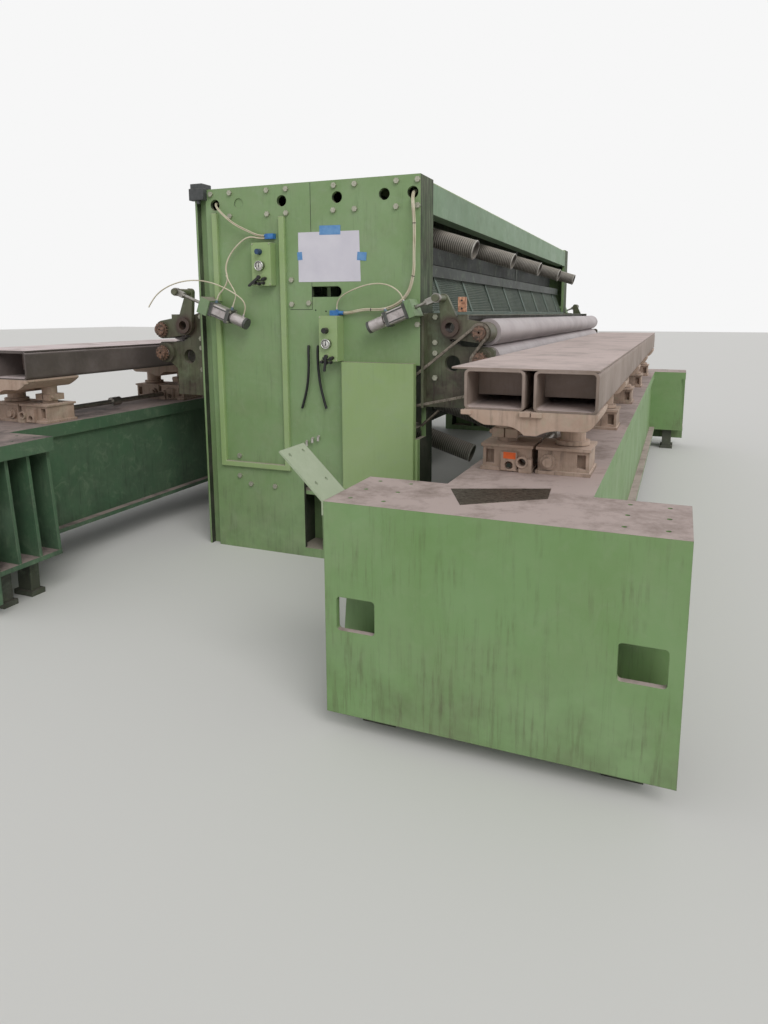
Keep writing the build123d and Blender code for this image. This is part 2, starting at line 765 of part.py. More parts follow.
def cord(name, points, radius):
    """Tube along straight runs joined by the widest arcs that both runs leave room for."""
    spots = [Vector(*point) for point in points]
    runs = [b - a for a, b in zip(spots, spots[1:])]
    radii = []
    for before, after in zip(runs, runs[1:]):
        half_turn = radians(before.get_angle(after)) / 2
        radii.append(0.45 * min(before.length, after.length) / tan(half_turn))
    with BuildPart() as tube:
        with BuildLine() as route:
            FilletPolyline(*spots, radius=radii)
        with BuildSketch(Plane(origin=spots[0], z_dir=runs[0])) as section:
            Circle(radius)
        sweep(section.sketch, path=route.wires()[0])
    length = sum(edge.length for edge in route.edges())
    print(name, "length", round(length), "radii", [round(r) for r in radii],
          "volume ratio", round(tube.part.volume / (pi * radius ** 2 * length), 4))
    keep(tube, name)


def port_exit(side, distance, rise, out):
    """Point a distance straight out of a port on a cylinder."""
    x, z = axis_point(side, cylinders[side]["reach"] + distance, rise + out)
    return x, cylinder_y, z


# Air tubes: supply bundles from the cable holes, tubes to the cylinder ports, one loose end
cord("infeed_supply_tubes", [
    (-631, -1920, 2302), (-631, -1965, 2302), (-615, -2005, 2287), (-586, -2032, 2260), (-548, -2037, 2225),
    (-492, -2034, 2178), (-440, -2032, 2146), (-382, -2026, 2119), (-332, -2014, 2096),
    (-286, stub_y, infeed_stubs[0]), (infeed_stub_end, stub_y, infeed_stubs[0]),
], bundle_radius)
cord("infeed_front_tube", [
    (infeed_stub_end, stub_y, infeed_stubs[1]), (-288, stub_y, infeed_stubs[1]), (-330, -2014, 2073),
    (-366, -2020, 2074), (-406, -2022, 2057), (-445, -2024, 2028), (-485, -2026, 1991), (-511, -2030, 1953),
    (-524, -2036, 1920), (-527, -2044, 1887), (-517, -2056, 1857), (-500, -2066, 1826), (-503, -2072, 1790),
    (-530, -2073, 1752), port_exit(infeed_side, front_port, port_top, 30),
    port_exit(infeed_side, front_port, port_top, 0),
], tube_radius + 1)
cord("infeed_rear_tube", [
    (-507, -2072.5, 1838), (-484, -2081, 1802), (-459, -2082, 1766), (-440, -2078, 1731), (-438, -2074, 1702),
    port_exit(infeed_side, rear_port, port_top, 28), port_exit(infeed_side, rear_port, port_top, 0),
], tube_radius)
cord("infeed_loose_tube", [
    port_exit(infeed_side, tail_port, tail_port_rise, 0), port_exit(infeed_side, tail_port, tail_port_rise, 24),
    (-369, -2075, 1639), (-373, -2081, 1667), (-393, -2089, 1695), (-440, -2100, 1728), (-508, -2106, 1762),
    (-596, -2108, 1792), (-700, -2110, 1810), (-801, -2118, 1806), (-900, -2126, 1783), (-985, -2130, 1744),
    (-1050, -2130, 1694), (-1092, -2128, 1638),
], tube_radius)
cord("outfeed_supply_tubes", [
    (735, -1893, 2304), (735, -1946, 2304), (740, -1995, 2278), (750, -2028, 2231), (758, -2032, 2166),
    (763, -2031, 2060), (760, -2032, 1950), (761, -2030, 1850), (749, -2028, 1790), (733, -2026, 1738),
    (709, -2025, 1700), (676, -2024, 1668), (628, -2022, 1640), (565, -2020, 1622), (505, -2018, 1620),
    (446, -2018, 1622), (385, -2016, 1612), (330, stub_y, outfeed_stub),
    (outfeed_stub_end, stub_y, outfeed_stub),
], supply_radius)
cord("outfeed_port_tube", [
    (outfeed_port_stub[0], stub_y, outfeed_port_stub[1]), (outfeed_port_stub[0], stub_y, 1650),
    (262, -2014, 1680), (290, -2026, 1702), (335, -2042, 1722), (388, -2052, 1742), (462, -2060, 1763),
    (536, -2066, 1773), (600, -2070, 1766), (646, -2072, 1748), (680, -2072, 1724),
    port_exit(outfeed_side, front_port, port_top, 28), port_exit(outfeed_side, front_port, port_top, 0),
], tube_radius)

# Black leads that hang from the near frame with bare ends
left_x, right_x = lead_holes
cord("left_lead", [
    (left_x, frame_near - lead_radius, lead_top), (left_x + 1, -2006, 1370), (44, -2010, 1310),
    (43, -2012, 1240), (34, -2010, 1160), (14, -2008, 1075), (-13, -2006, 998),
], lead_radius)
cord("right_lead", [
    (right_x, frame_near - lead_radius, lead_top), (right_x + 1, -2006, 1370), (108, -2010, 1310),
    (113, -2012, 1240), (122, -2012, 1165), (139, -2010, 1085), (162, -2008, 1003),
], lead_radius)

# Ducts and cover on the near frame
with BuildPart() as cable_ducts:
    block(*left_duct, frame_near - duct_depth, frame_near, 575, 2235)
    block(*right_duct, frame_near - duct_depth, frame_near, 575, 2192)
    block(left_duct[1], right_duct[0], frame_near - duct_depth, frame_near, 575, 612)
    chamfer(cable_ducts.faces().filter_by(Axis.Y).sort_by(Axis.Y)[0].edges(), 4)
keep(cable_ducts, "cable_ducts")

with BuildPart() as cover_box:
    block(282, 760, frame_near - 45, frame_near, 500, 1303)
    fillet(cover_box.edges().filter_by(Axis.Z).group_by(Axis.Y)[0], 6)
    block(285, 757, frame_near - 42, frame_near, 503, 1300, Mode.SUBTRACT)
    block(760, 778, frame_near - 20, frame_near, 500, 846)
keep(cover_box, "cover_box")

# Beds: a long ribbed girder with a cross block at each end
front_plate = 25
window_low = 420
window_high = 552
window_in = 430
window_out = 585
grid_in = 425
grid_out = 560
grid_rows = (80, 222, 364)
bed_far = bed_near + bed_length
bed_cells = 9

with BuildPart() as outfeed_bed:
    block(bed_x - bed_flange_half, bed_x + bed_flange_half, bed_near, bed_far, bed_top - flange_depth, bed_top)
    block(bed_x - bed_wall_half, bed_x + bed_wall_half, bed_near, bed_far,
          foot_flange_bottom, bed_top - flange_depth)
    block(bed_x - 320, bed_x + 320, bed_near, bed_far, foot_flange_bottom, foot_flange_top)
    cell = (bed_length - 2 * block_length) / bed_cells
    for k in range(bed_cells):
        y0 = bed_near + block_length + k * cell
        block(bed_x - bed_wall_half + 20, bed_x + bed_wall_half - 20, y0 + 8, y0 + cell - 8,
              foot_flange_bottom, bed_top - 30, Mode.SUBTRACT)
    block(bed_x - block_half, bed_x + block_half, bed_near, bed_near + block_length,
          bed_top - flange_depth, bed_top)
    block(bed_x - block_half, bed_x + block_half, bed_near, bed_near + block_length,
          foot_flange_bottom, foot_flange_top)
    block(bed_x - block_half, bed_x + block_half, bed_near, bed_near + front_plate, 78, bed_top - 4)
    for y in (140, 275, block_length - 20):
        with BuildSketch(across(bed_near + y)):
            with BuildLine():
                Polyline(
                    (bed_x - block_half + 45, bed_top - flange_depth),
                    (bed_x - block_half + 4, foot_flange_top),
                    (bed_x + block_half - 4, foot_flange_top),
                    (bed_x + block_half - 45, bed_top - flange_depth),
                    close=True,
                )
            make_face()
        extrude(amount=-20)
    with BuildSketch(across(bed_near)):
        for side in (-1, 1):
            with Locations((bed_x + side * (window_in + window_out) / 2, (window_low + window_high) / 2)):
                RectangleRounded(window_out - window_in, window_high - window_low, 14)
    extrude(amount=-front_plate, mode=Mode.SUBTRACT)
    for side in (-1, 1):
        for x in (grid_in, grid_out):
            for y in grid_rows:
                bar((bed_x + side * x, bed_near + y, bed_top), (bed_x + side * x, bed_near + y,
                    bed_top - flange_depth), hole_radius, Mode.SUBTRACT)
    bed_middle = Plane.XZ.offset(-(bed_near + bed_far) / 2)
    split(bisect_by=bed_middle, keep=Keep.TOP)
    mirror(about=bed_middle)
keep(outfeed_bed, "outfeed_bed")
keep(copied(outfeed_bed, Plane.YZ, (0, bed_shift, 0)), "infeed_bed")

foot_places = [150, 330, bed_length / 2 - 200, bed_length / 2 + 200, bed_length - 330, bed_length - 150]
with BuildPart() as bed_feet:
    for side in (-1, 1):
        for y in foot_places:
            in_block = min(y, bed_length - y) < block_length
            x = bed_x + side * (460 if in_block else 230)
            block(x - 70, x + 70, bed_near + y - 45, bed_near + y + 45, 0, 30)
            block(x - 50, x + 50, bed_near + y - 30, bed_near + y + 30, 30, foot_flange_bottom)
    add(bed_feet.part.mirror(Plane.YZ).moved(Location((0, bed_shift, 0))))
keep(bed_feet, "bed_feet")

# Bent stop plate on the inner edge of the near outfeed block, leaning towards the tower
stop_width = 182
stop_sheet = 8
stop_reach = 185
stop_rise = 170
with BuildPart() as stop_bar:
    edge_x = bed_x - block_half
    with BuildSketch(across(bed_near)):
        with BuildLine():
            Polyline(
                (edge_x, bed_top - 55),
                (edge_x, bed_top),
                (edge_x - stop_reach + 5, bed_top + stop_rise + 6),
                (edge_x - stop_reach, bed_top + stop_rise),
                (edge_x - stop_sheet, bed_top - 3),
                (edge_x - stop_sheet, bed_top - 55),
                close=True,
            )
        make_face()
    extrude(amount=-stop_width)
    for share, y in ((0.88, 40), (0.88, 140), (0.3, 50), (0.3, 130)):
        x, z = edge_x - stop_reach * share, bed_top + stop_rise * share
        bar((x - 20, bed_near + y, z - 20), (x + 20, bed_near + y, z + 20), 7, Mode.SUBTRACT)
keep(stop_bar, "stop_bar")

# Screw jacks on the beds, the line shaft that drives them and the lifting beam
beam_near = bed_near + lift_beam_inset
first_station = beam_near + 147 + jack_depth / 2
last_station = beam_near + lift_beam_length - (first_station - beam_near)
jack_pitch = (last_station - first_station) / (jack_stations - 1)
jack_places = [first_station + jack_pitch * k for k in range(jack_stations)]
line_shaft_x = bed_x - 50
line_shaft_z = bed_top + 47
line_shaft_radius = 17.5
jack_top = bed_top + jack_height

boss_x = bed_x + 60
boss_z = bed_top + 54
socket_x = bed_x - 109
with BuildPart() as jack_housings:
    for y in jack_places:
        near = y - jack_depth / 2
        for side in (-1, 1):
            x = bed_x + side * jack_spacing
            half = jack_width / 2
            block(x - half, x + half, near, near + jack_depth, bed_top, bed_top + 15)
            block(x - half + 8, x + half - 8, near + 14, near + jack_depth - 14, bed_top + 15, jack_top)
            block(x - half, x + half, near + 4, near + jack_depth - 4, jack_top - 13, jack_top)
            outer = x + side * (half - 40)
            block(outer - 18, outer + 18, near, near + 46, bed_top + 30, jack_top - 26, Mode.SUBTRACT)
            column_x = bed_x + side * column_spacing
            bar((column_x, y, jack_top), (column_x, y, bed_top + 10), column_radius + fit, Mode.SUBTRACT)
        block(socket_x - 36, socket_x + 36, near - 8, near + 14, bed_top + 4, bed_top + 88)
        block(bed_x - 64, bed_x - 8, near - 14, near + 14, bed_top, bed_top + 62)
        disc(socket_x, bed_top + 28, near - 9, near + 40, 18, Mode.SUBTRACT)
        disc(boss_x, boss_z, near - 4, near + 14, 34)
        disc(boss_x, boss_z, near - 20, near - 4, 21)
        disc(line_shaft_x, line_shaft_z, near - 20, near + jack_depth, 26)
        disc(line_shaft_x, line_shaft_z, near - 20, near + jack_depth, line_shaft_radius + fit, Mode.SUBTRACT)
    add(jack_housings.part.mirror(Plane.YZ).moved(Location((0, bed_shift, 0))))
keep(jack_housings, "jack_housings")

with BuildPart() as outfeed_line_shaft:
    disc(line_shaft_x, line_shaft_z, jack_places[0] - 60, jack_places[-1] + 60, line_shaft_radius)
    for near_jack, far_jack in zip(jack_places, jack_places[1:]):
        middle = (near_jack + far_jack) / 2
        disc(line_shaft_x, line_shaft_z, middle - 40, middle + 40, line_shaft_radius + 14)
keep(outfeed_line_shaft, "outfeed_line_shaft")
keep(copied(outfeed_line_shaft, Plane.YZ, (0, bed_shift, 0)), "infeed_line_shaft")

cradle_floor = lift_beam_bottom - 52
with BuildPart() as outfeed_jack_columns:
    for k, y in enumerate(jack_places):
        near, far = y - 120, y + 120
        if k == 0:
            near = beam_near
        if k == jack_stations - 1:
            far = beam_near + lift_beam_length
        with BuildSketch(across(near, bed_x, lift_beam_bottom)) as cradle:
            with BuildLine():
                Line((-274, 0), (-274, -12))
                ThreePointArc((-274, -12), (-240, -36), (-186, -63))
                Line((-186, -63), (-96, -64))
                ThreePointArc((-96, -64), (-52, -74), (-18, -99))
                Line((-18, -99), (34, -99))
                ThreePointArc((34, -99), (70, -82), (128, -73))
                Line((128, -73), (222, -73))
                ThreePointArc((222, -73), (258, -50), (274, -12))
                Line((274, -12), (274, 0))
                Line((274, 0), (-274, 0))
            make_face()
        extrude(amount=near - far)
        for side in (-1, 1):
            inner, outer = sorted((bed_x + side * 24, bed_x + side * 200))
            block(inner, outer, near + 14, far - 14, cradle_floor, lift_beam_bottom, Mode.SUBTRACT)
            x = bed_x + side * column_spacing
            bar((x, y, bed_top + 15), (x, y, cradle_floor), column_radius)
        x = bed_x - column_spacing
        block(x - 58, x + 58, y - 58, y + 58, jack_top + 20, jack_top + 60)
        block(x - 3, x + 3, y - 58, y - 45, jack_top + 20, jack_top + 60, Mode.SUBTRACT)
        bar((x - 72, y - 36, jack_top + 42), (x + 72, y - 36, jack_top + 42), 9)
        x = bed_x + column_spacing
        bar((x, y, jack_top + 3), (x, y, jack_top + 22), column_radius + 28)
        bar((x, y, jack_top + 22), (x, y, cradle_floor), column_radius + 9)
    for x in (-262, -14, 34):
        block(bed_x + x - 22, bed_x + x + 22, beam_near - 14, beam_near,
              lift_beam_bottom - 22, lift_beam_bottom - 2)
keep(outfeed_jack_columns, "outfeed_jack_columns")

# Lifting beams: two box tubes, open at both ends, and the plate on top of them
box_floor = 9
tube_middle = (lift_beam_bottom + lift_beam_top) / 2


def box_beams(overhang):
    """Tubes and top plate; the plate stands out on the tower side by the overhang."""
    with BuildPart() as beams:
        for side in (-1, 1):
            x = bed_x + side * (18 + box_width / 2)
            inner_half = box_width / 2 - box_wall
            with BuildSketch(across(beam_near)):
                with Locations((x, tube_middle)):
                    RectangleRounded(box_width, lift_beam_top - lift_beam_bottom, 20)
                    RectangleRounded(2 * inner_half, lift_beam_top - lift_beam_bottom - 2 * box_floor, 14,
                                     mode=Mode.SUBTRACT)
            extrude(amount=-lift_beam_length)
        block(bed_x - 274 - overhang, bed_x + 274, beam_near, beam_near + lift_beam_length,
              lift_beam_top + gap, lift_beam_top + 8)
    return beams


plate_overhang = 56
outfeed_box_beams = box_beams(plate_overhang)
keep(outfeed_box_beams, "outfeed_box_beams")
keep(copied(box_beams(0), Plane.YZ, (0, bed_shift, 0)), "infeed_box_beams")
keep(copied(outfeed_jack_columns, Plane.YZ, (0, bed_shift, 0)), "infeed_jack_columns")
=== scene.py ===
import bpy, bmesh
from functools import partial
from math import cos, pi, radians, sin
from mathutils import Matrix, Vector


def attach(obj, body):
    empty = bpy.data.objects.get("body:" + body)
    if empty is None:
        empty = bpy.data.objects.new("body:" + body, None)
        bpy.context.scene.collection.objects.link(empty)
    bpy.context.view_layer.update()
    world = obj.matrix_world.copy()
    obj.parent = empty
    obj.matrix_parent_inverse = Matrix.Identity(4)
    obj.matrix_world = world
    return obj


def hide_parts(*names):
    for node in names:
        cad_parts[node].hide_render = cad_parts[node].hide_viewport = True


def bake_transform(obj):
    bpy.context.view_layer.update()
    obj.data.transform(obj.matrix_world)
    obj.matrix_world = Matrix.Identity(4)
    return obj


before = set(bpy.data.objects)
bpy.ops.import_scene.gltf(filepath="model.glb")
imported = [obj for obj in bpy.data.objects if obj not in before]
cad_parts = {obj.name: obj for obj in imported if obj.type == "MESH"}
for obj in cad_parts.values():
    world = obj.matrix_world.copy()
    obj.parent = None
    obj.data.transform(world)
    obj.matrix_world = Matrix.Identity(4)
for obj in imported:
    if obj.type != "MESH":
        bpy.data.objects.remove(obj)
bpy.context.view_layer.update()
print("frame loaded")

mm = 0.001
nearFace = -1990      # outer face of the near end frame, in mm
skin = 0.2            # how far an added piece is let into what it stands on, in mm


# Colours are written as sRGB hex and turned to linear here
def hexColour(text):
    parts = [int(text[i:i + 2], 16) / 255 for i in (0, 2, 4)]
    return tuple(c / 12.92 if c < 0.04045 else ((c + 0.055) / 1.055) ** 2.4 for c in parts) + (1,)


# A value may be a number, a socket or a node, whose own result is then taken
def setInputs(node, inputs):
    for name, value in inputs.items():
        if isinstance(value, bpy.types.Node):
            value = value.outputs[2 if value.bl_idname == "ShaderNodeMix" else 0]
        if isinstance(value, bpy.types.NodeSocket):
            node.id_data.links.new(value, node.inputs[name])
        else:
            node.inputs[name].default_value = value


def addNode(tree, kind, inputs=None, **settings):
    node = tree.nodes.new(kind)
    for name, value in settings.items():
        setattr(node, name, value)
    setInputs(node, inputs or {})
    return node


def newMaterial(name):
    material = bpy.data.materials.new(name)
    material.use_nodes = True
    material.node_tree.nodes.clear()
    put = partial(addNode, material.node_tree)
    shader = put("ShaderNodeBsdfPrincipled")
    put("ShaderNodeOutputMaterial", {"Surface": shader})
    return material, put, shader


def linkedObject(name, data):
    made = bpy.data.objects.new(name, data)
    bpy.context.collection.objects.link(made)
    return made


# Brushed alkyd enamel on plate steel: soft sheen, faint brush ripple, worn edges, grime that runs
# down from edges and gathers low, fibre dust on whatever faces up, and painted shade on +X faces where asked
# The sizes of its patterns in mm; a real brush ripple is too fine to show, so this one is coarser
enamelSizes = {"scuff": 110, "broad": 330, "chip": 24, "worn": 4, "trodden": 260, "dent": 420, "ripple": 7}


def machineEnamel(name, paint):
    material, put, shader = newMaterial(name)
    place = put("ShaderNodeTexCoord").outputs["Object"]
    geometry = put("ShaderNodeNewGeometry")
    normal = put("ShaderNodeSeparateXYZ", {"Vector": geometry.outputs["Normal"]})
    height = put("ShaderNodeSeparateXYZ", {"Vector": place}).outputs["Z"]

    patches = put("ShaderNodeTexNoise", {
        "Vector": place, "Scale": 1 / (paint["patch"] * mm), "Detail": 5, "Roughness": 0.62,
        "Distortion": 0.6})
    fading = put("ShaderNodeMapRange", {"Value": patches, "From Min": 0.36, "From Max": 0.66})
    colour = put("ShaderNodeMix", {
        0: fading, 6: hexColour(paint["base"]), 7: hexColour(paint["faded"])}, data_type="RGBA")

    # hand marks and scuffs, a palm to a forearm wide
    scuffs = put("ShaderNodeTexNoise", {
        "Vector": place, "Scale": 1 / (enamelSizes["scuff"] * mm), "Detail": 8, "Roughness": 0.72,
        "Distortion": 1.2})
    scuffed = put("ShaderNodeMapRange", {
        "Value": scuffs, "From Min": 0.52, "From Max": 0.74, "To Max": paint["scuffs"]})
    colour = put("ShaderNodeMix", {
        0: scuffed, 6: colour, 7: hexColour(paint["scuffColour"])}, data_type="RGBA")

    # grime in narrow runs, broken up by a broad noise and stronger towards the foot
    stretched = put("ShaderNodeMapping", {"Vector": place, "Scale": (1, 1, 0.07)})
    runs = put("ShaderNodeTexNoise", {
        "Vector": stretched, "Scale": 1 / (paint["runWidth"] * mm), "Detail": 6, "Roughness": 0.7})
    broad = put("ShaderNodeTexNoise", {
        "Vector": place, "Scale": 1 / (enamelSizes["broad"] * mm), "Detail": 4, "Roughness": 0.7})
    low = put("ShaderNodeMapRange", {
        "Value": height, "From Min": paint["soilTop"], "From Max": paint["soilLow"]})
    narrow = put("ShaderNodeMapRange", {"Value": runs, "From Min": 0.5, "From Max": 0.78})
    where = put("ShaderNodeMapRange", {"Value": broad, "From Min": 0.44, "From Max": 0.62})
    where = put("ShaderNodeMath", {0: where, 1: low}, operation="ADD", use_clamp=True)
    grime = put("ShaderNodeMath", {0: narrow, 1: where}, operation="MULTIPLY")
    grime = put("ShaderNodeMath", {0: grime, 1: paint["grime"]}, operation="MULTIPLY")
    soil = put("ShaderNodeMapRange", {
        "Value": broad, "From Min": 0.38, "From Max": 0.62, "To Max": paint["soil"]})
    soil = put("ShaderNodeMath", {0: soil, 1: low}, operation="MULTIPLY")
    grime = put("ShaderNodeMath", {0: grime, 1: soil}, operation="ADD", use_clamp=True)
    # painted shade: faces turned to +X go nearly black, patchy up high and full below a given height
    shadedFlank = put("ShaderNodeMapRange", {
        "Value": normal.outputs["X"], "From Min": 0.7, "From Max": 0.95, "To Max": paint["shadedFlank"]})
    blotched = put("ShaderNodeMapRange", {
        "Value": runs, "From Min": 0.35, "From Max": 0.6, "To Min": 0.62})
    shadedLow = put("ShaderNodeMapRange", {
        "Value": height, "From Min": paint["flankShadeTop"], "From Max": paint["flankShadeLow"]})
    blotched = put("ShaderNodeMath", {0: blotched, 1: shadedLow}, operation="MAXIMUM")
    shadedFlank = put("ShaderNodeMath", {0: shadedFlank, 1: blotched}, operation="MULTIPLY")
    colour = put("ShaderNodeMix", {
        0: grime, 6: colour, 7: hexColour(paint["grimeColour"])}, data_type="RGBA")
    colour = put("ShaderNodeMix", {
        0: shadedFlank, 6: colour, 7: hexColour(paint["flankShadeColour"])}, data_type="RGBA")

    # chips down to primer and edges rubbed bare
    spots = put("ShaderNodeTexNoise", {
        "Vector": place, "Scale": 1 / (enamelSizes["chip"] * mm), "Detail": 8, "Roughness": 0.75})
    chips = put("ShaderNodeMapRange", {
        "Value": spots, "From Min": 0.69, "From Max": 0.73, "To Max": paint["chips"]})
    rounded = put("ShaderNodeBevel", {"Radius": enamelSizes["worn"] * mm}, samples=4)
    facing = put("ShaderNodeVectorMath", {
        0: rounded, 1: geometry.outputs["Normal"]}, operation="DOT_PRODUCT")
    edge = put("ShaderNodeMapRange", {
        "Value": facing.outputs["Value"], "From Min": 0.985, "From Max": 0.9})
    rubbed = put("ShaderNodeMapRange", {
        "Value": spots, "From Min": 0.4, "From Max": 0.6, "To Max": paint["edgeWear"]})
    rubbed = put("ShaderNodeMath", {0: edge, 1: rubbed}, operation="MULTIPLY")
    bare = put("ShaderNodeMath", {0: chips, 1: rubbed}, operation="MAXIMUM")
    colour = put("ShaderNodeMix", {
        0: bare, 6: colour, 7: hexColour(paint["bareColour"])}, data_type="RGBA")

    # fibre dust: thick on top faces, a thin film elsewhere
    lint = put("ShaderNodeTexNoise", {
        "Vector": place, "Scale": 1 / (paint["lint"] * mm), "Detail": 9, "Roughness": 0.68})
    upward = put("ShaderNodeMapRange", {"Value": normal.outputs["Z"], "From Min": 0.35, "From Max": 0.95})
    lying = put("ShaderNodeMapRange", {
        "Value": lint, "From Min": 0.18, "From Max": 0.32, "To Max": paint["dustTop"]})
    lying = put("ShaderNodeMath", {0: upward, 1: lying}, operation="MULTIPLY")
    film = put("ShaderNodeMapRange", {
        "Value": lint, "From Min": 0.44, "From Max": 0.7, "To Max": paint["dustSides"]})
    dust = put("ShaderNodeMath", {0: lying, 1: film}, operation="MAXIMUM")
    trodden = put("ShaderNodeTexNoise", {
        "Vector": place, "Scale": 1 / (enamelSizes["trodden"] * mm), "Detail": 10, "Roughness": 0.74})
    trodden = put("ShaderNodeMapRange", {"Value": trodden, "From Min": 0.46, "From Max": 0.66})
    dusty = put("ShaderNodeMix", {
        0: trodden, 6: hexColour(paint["dustColour"]), 7: hexColour(paint["dustDark"])}, data_type="RGBA")
    colour = put("ShaderNodeMix", {0: dust, 6: colour, 7: dusty}, data_type="RGBA")

    gloss = put("ShaderNodeMapRange", {
        "Value": broad, "From Min": 0.3, "From Max": 0.75, "To Min": paint["roughness"] - 0.05,
        "To Max": paint["roughness"] + 0.1})
    dulled = put("ShaderNodeMath", {0: dust, 1: shadedFlank}, operation="MAXIMUM")
    dulled = put("ShaderNodeMath", {0: dulled, 1: 0.35}, operation="MULTIPLY")
    gloss = put("ShaderNodeMath", {0: gloss, 1: dulled}, operation="ADD", use_clamp=True)
    dents = put("ShaderNodeTexNoise", {
        "Vector": place, "Scale": 1 / (enamelSizes["dent"] * mm), "Detail": 1})
    softBump = put("ShaderNodeBump", {
        "Height": dents, "Strength": 0.5, "Distance": 0.004, "Normal": rounded})
    ripple = put("ShaderNodeTexNoise", {
        "Vector": place, "Scale": 1 / (enamelSizes["ripple"] * mm), "Detail": 3})
    bump = put("ShaderNodeBump", {
        "Height": ripple, "Strength": 0.25, "Distance": 0.0006, "Normal": softBump})
    setInputs(shader, {"Base Color": colour, "Roughness": gloss, "Normal": bump})
    return material


# patch, runWidth and lint are in mm, the tops and lows of soil and of the painted shade on +X faces are
# heights in m, and the rest are colours or shares from 0 to 1
plainPaint = {
    "base": "799461", "faded": "86a072", "patch": 620, "scuffs": 0.35, "scuffColour": "93a688",
    "grime": 0.4, "grimeColour": "565a3c", "soil": 0.3, "soilTop": 0.75, "soilLow": 0.0, "runWidth": 16,
    "shadedFlank": 0, "flankShadeColour": "1d1f18", "flankShadeTop": 1.95, "flankShadeLow": 1.6, "chips": 0.5, "edgeWear": 0.5,
    "bareColour": "5d5749", "dustTop": 0.8, "dustSides": 0.12, "dustColour": "a3938c",
    "dustDark": "7a6d66", "lint": 140, "roughness": 0.42}
# mid-green tower; its outfeed side face painted nearly black as shade, patchy up high
framePaint = machineEnamel("frameEnamel", plainPaint | {"grimeColour": "4a4f38", "shadedFlank": 0.94})
# fresher enamel on covers and boxes: lighter, cleaner and a little glossier
panelPaint = machineEnamel("panelEnamel", plainPaint | {
    "base": "92ab70", "faded": "9bb07e", "grime": 0.15, "soil": 0.1, "dustSides": 0.05, "roughness": 0.36})
# the outfeed bed, scuffed and streaked, with lint trodden on its top
bedPaint = machineEnamel("bedEnamel", plainPaint | {
    "base": "709058", "faded": "7c9a68", "grime": 0.75, "grimeColour": "54563a", "soil": 0.4,
    "soilTop": 0.5, "soilLow": 0.16, "scuffs": 0.3, "scuffColour": "879a74", "dustTop": 1.0,
    "dustSides": 0.1, "dustColour": "b3a29c", "dustDark": "86776f", "lint": 420, "roughness": 0.5})
# a darker copy of the bed enamel for the infeed bed: painted shade, dull and mottled darker
shadedBedPaint = machineEnamel("shadedBedEnamel", plainPaint | {
    "base": "46644a", "faded": "4f6b50", "grime": 0.6, "grimeColour": "2c3a2e", "soil": 0.7,
    "soilTop": 0.9, "dustTop": 1.0, "dustSides": 0.15, "dustColour": "8f807a", "dustDark": "4a4442",
    "lint": 260, "roughness": 0.5})
# fascias filmed with pale lint, so that the green looks chalky
fasciaPaint = machineEnamel("fasciaEnamel", plainPaint | {
    "base": "64815f", "faded": "73906e", "dustSides": 0.35, "dustColour": "87917f", "dustDark": "5f6e5c"})
# arms and brackets behind the chain: olive under grease and fluff
armPaint = machineEnamel("armEnamel", plainPaint | {
    "base": "5b6749", "faded": "6a6853", "grime": 0.8, "grimeColour": "372c24", "soil": 0.9,
    "soilTop": 1.75, "soilLow": 1.3, "dustSides": 0.5, "chips": 0.9, "dustColour": "6d6257",
    "dustDark": "3d362f", "lint": 90, "roughness": 0.42})
# cylinder brackets, the same green with little dust
bracketPaint = machineEnamel("cylinderBracketEnamel", plainPaint | {"base": "6f8a63", "dustSides": 0.2})
# corrugated guards: grey-green, softened by an even film of fibre
guardPaint = machineEnamel("guardEnamel", plainPaint | {
    "base": "53645a", "faded": "5d6d62", "dustSides": 0.45, "dustColour": "75766c", "dustDark": "4c5049",
    "roughness": 0.5})
# hood rails, nearly black with a brown bloom on top
railPaint = machineEnamel("railEnamel", plainPaint | {
    "base": "2e3531", "faded": "39403b", "dustTop": 0.9, "dustSides": 0.25, "dustColour": "6d6a66",
    "dustDark": "3f3d3b", "roughness": 0.5})
# sheet steel duct in matt black enamel, dusty on its top
ductPaint = machineEnamel("ductEnamel", plainPaint | {
    "base": "262a28", "faded": "2e3230", "dustTop": 0.7, "dustSides": 0.3, "dustColour": "4a4744",
    "dustDark": "2c2a29", "roughness": 0.6})
# red-grey primer on the box beams: chalky, brown where oil has run, pale with lint
beamLook = {
    "base": "857468", "faded": "948479", "grime": 0.45, "grimeColour": "53483f", "soil": 0.4,
    "soilTop": 1.33, "soilLow": 1.2, "scuffs": 0.35, "scuffColour": "a89c92", "dustTop": 1.0,
    "dustSides": 0.4, "dustColour": "c6b4ae", "dustDark": "a99a94", "lint": 420, "roughness": 0.6}
beamPaint = machineEnamel("primerOnBeam", plainPaint | beamLook)
# the infeed beams: a darker copy of the same primer as painted shade, with paler dust on their tops
shadedBeamPaint = machineEnamel("shadedPrimerOnBeam", plainPaint | beamLook | {
    "base": "4d4541", "faded": "5d544f", "scuffColour": "6f6661", "dustSides": 0.15,
    "dustColour": "d2c3c1"})
# rough cast iron under buff enamel, darker towards its foot: dirt and painted shade
jackPaint = machineEnamel("jackCastingEnamel", plainPaint | {
    "base": "a68d7c", "faded": "bda491", "grime": 0.7, "grimeColour": "4a3e34", "soil": 0.6, "chips": 0.9,
    "soilTop": 1.1, "soilLow": 0.92, "dustTop": 0.9, "dustSides": 0.5, "dustColour": "cbb5a6",
    "dustDark": "9a8979", "lint": 90, "roughness": 0.6})
# the bent stop bar, pale and nearly clean
stopPaint = machineEnamel("stopPlateEnamel", plainPaint | {
    "base": "98a886", "faded": "a3b193", "grime": 0.2, "soil": 0, "dustTop": 0.2, "scuffColour": "bcc4ad"})
# feet in dull grey-black paint, dark enough to stand in for the shade under the beds, muddy at the floor
footPaintAndShade = machineEnamel("footPaintAndShade", plainPaint | {
    "base": "3a3f38", "faded": "45483f", "dustSides": 0.4, "dustColour": "6b655d", "dustDark": "3a3733",
    "roughness": 0.6})
print("paints ready")


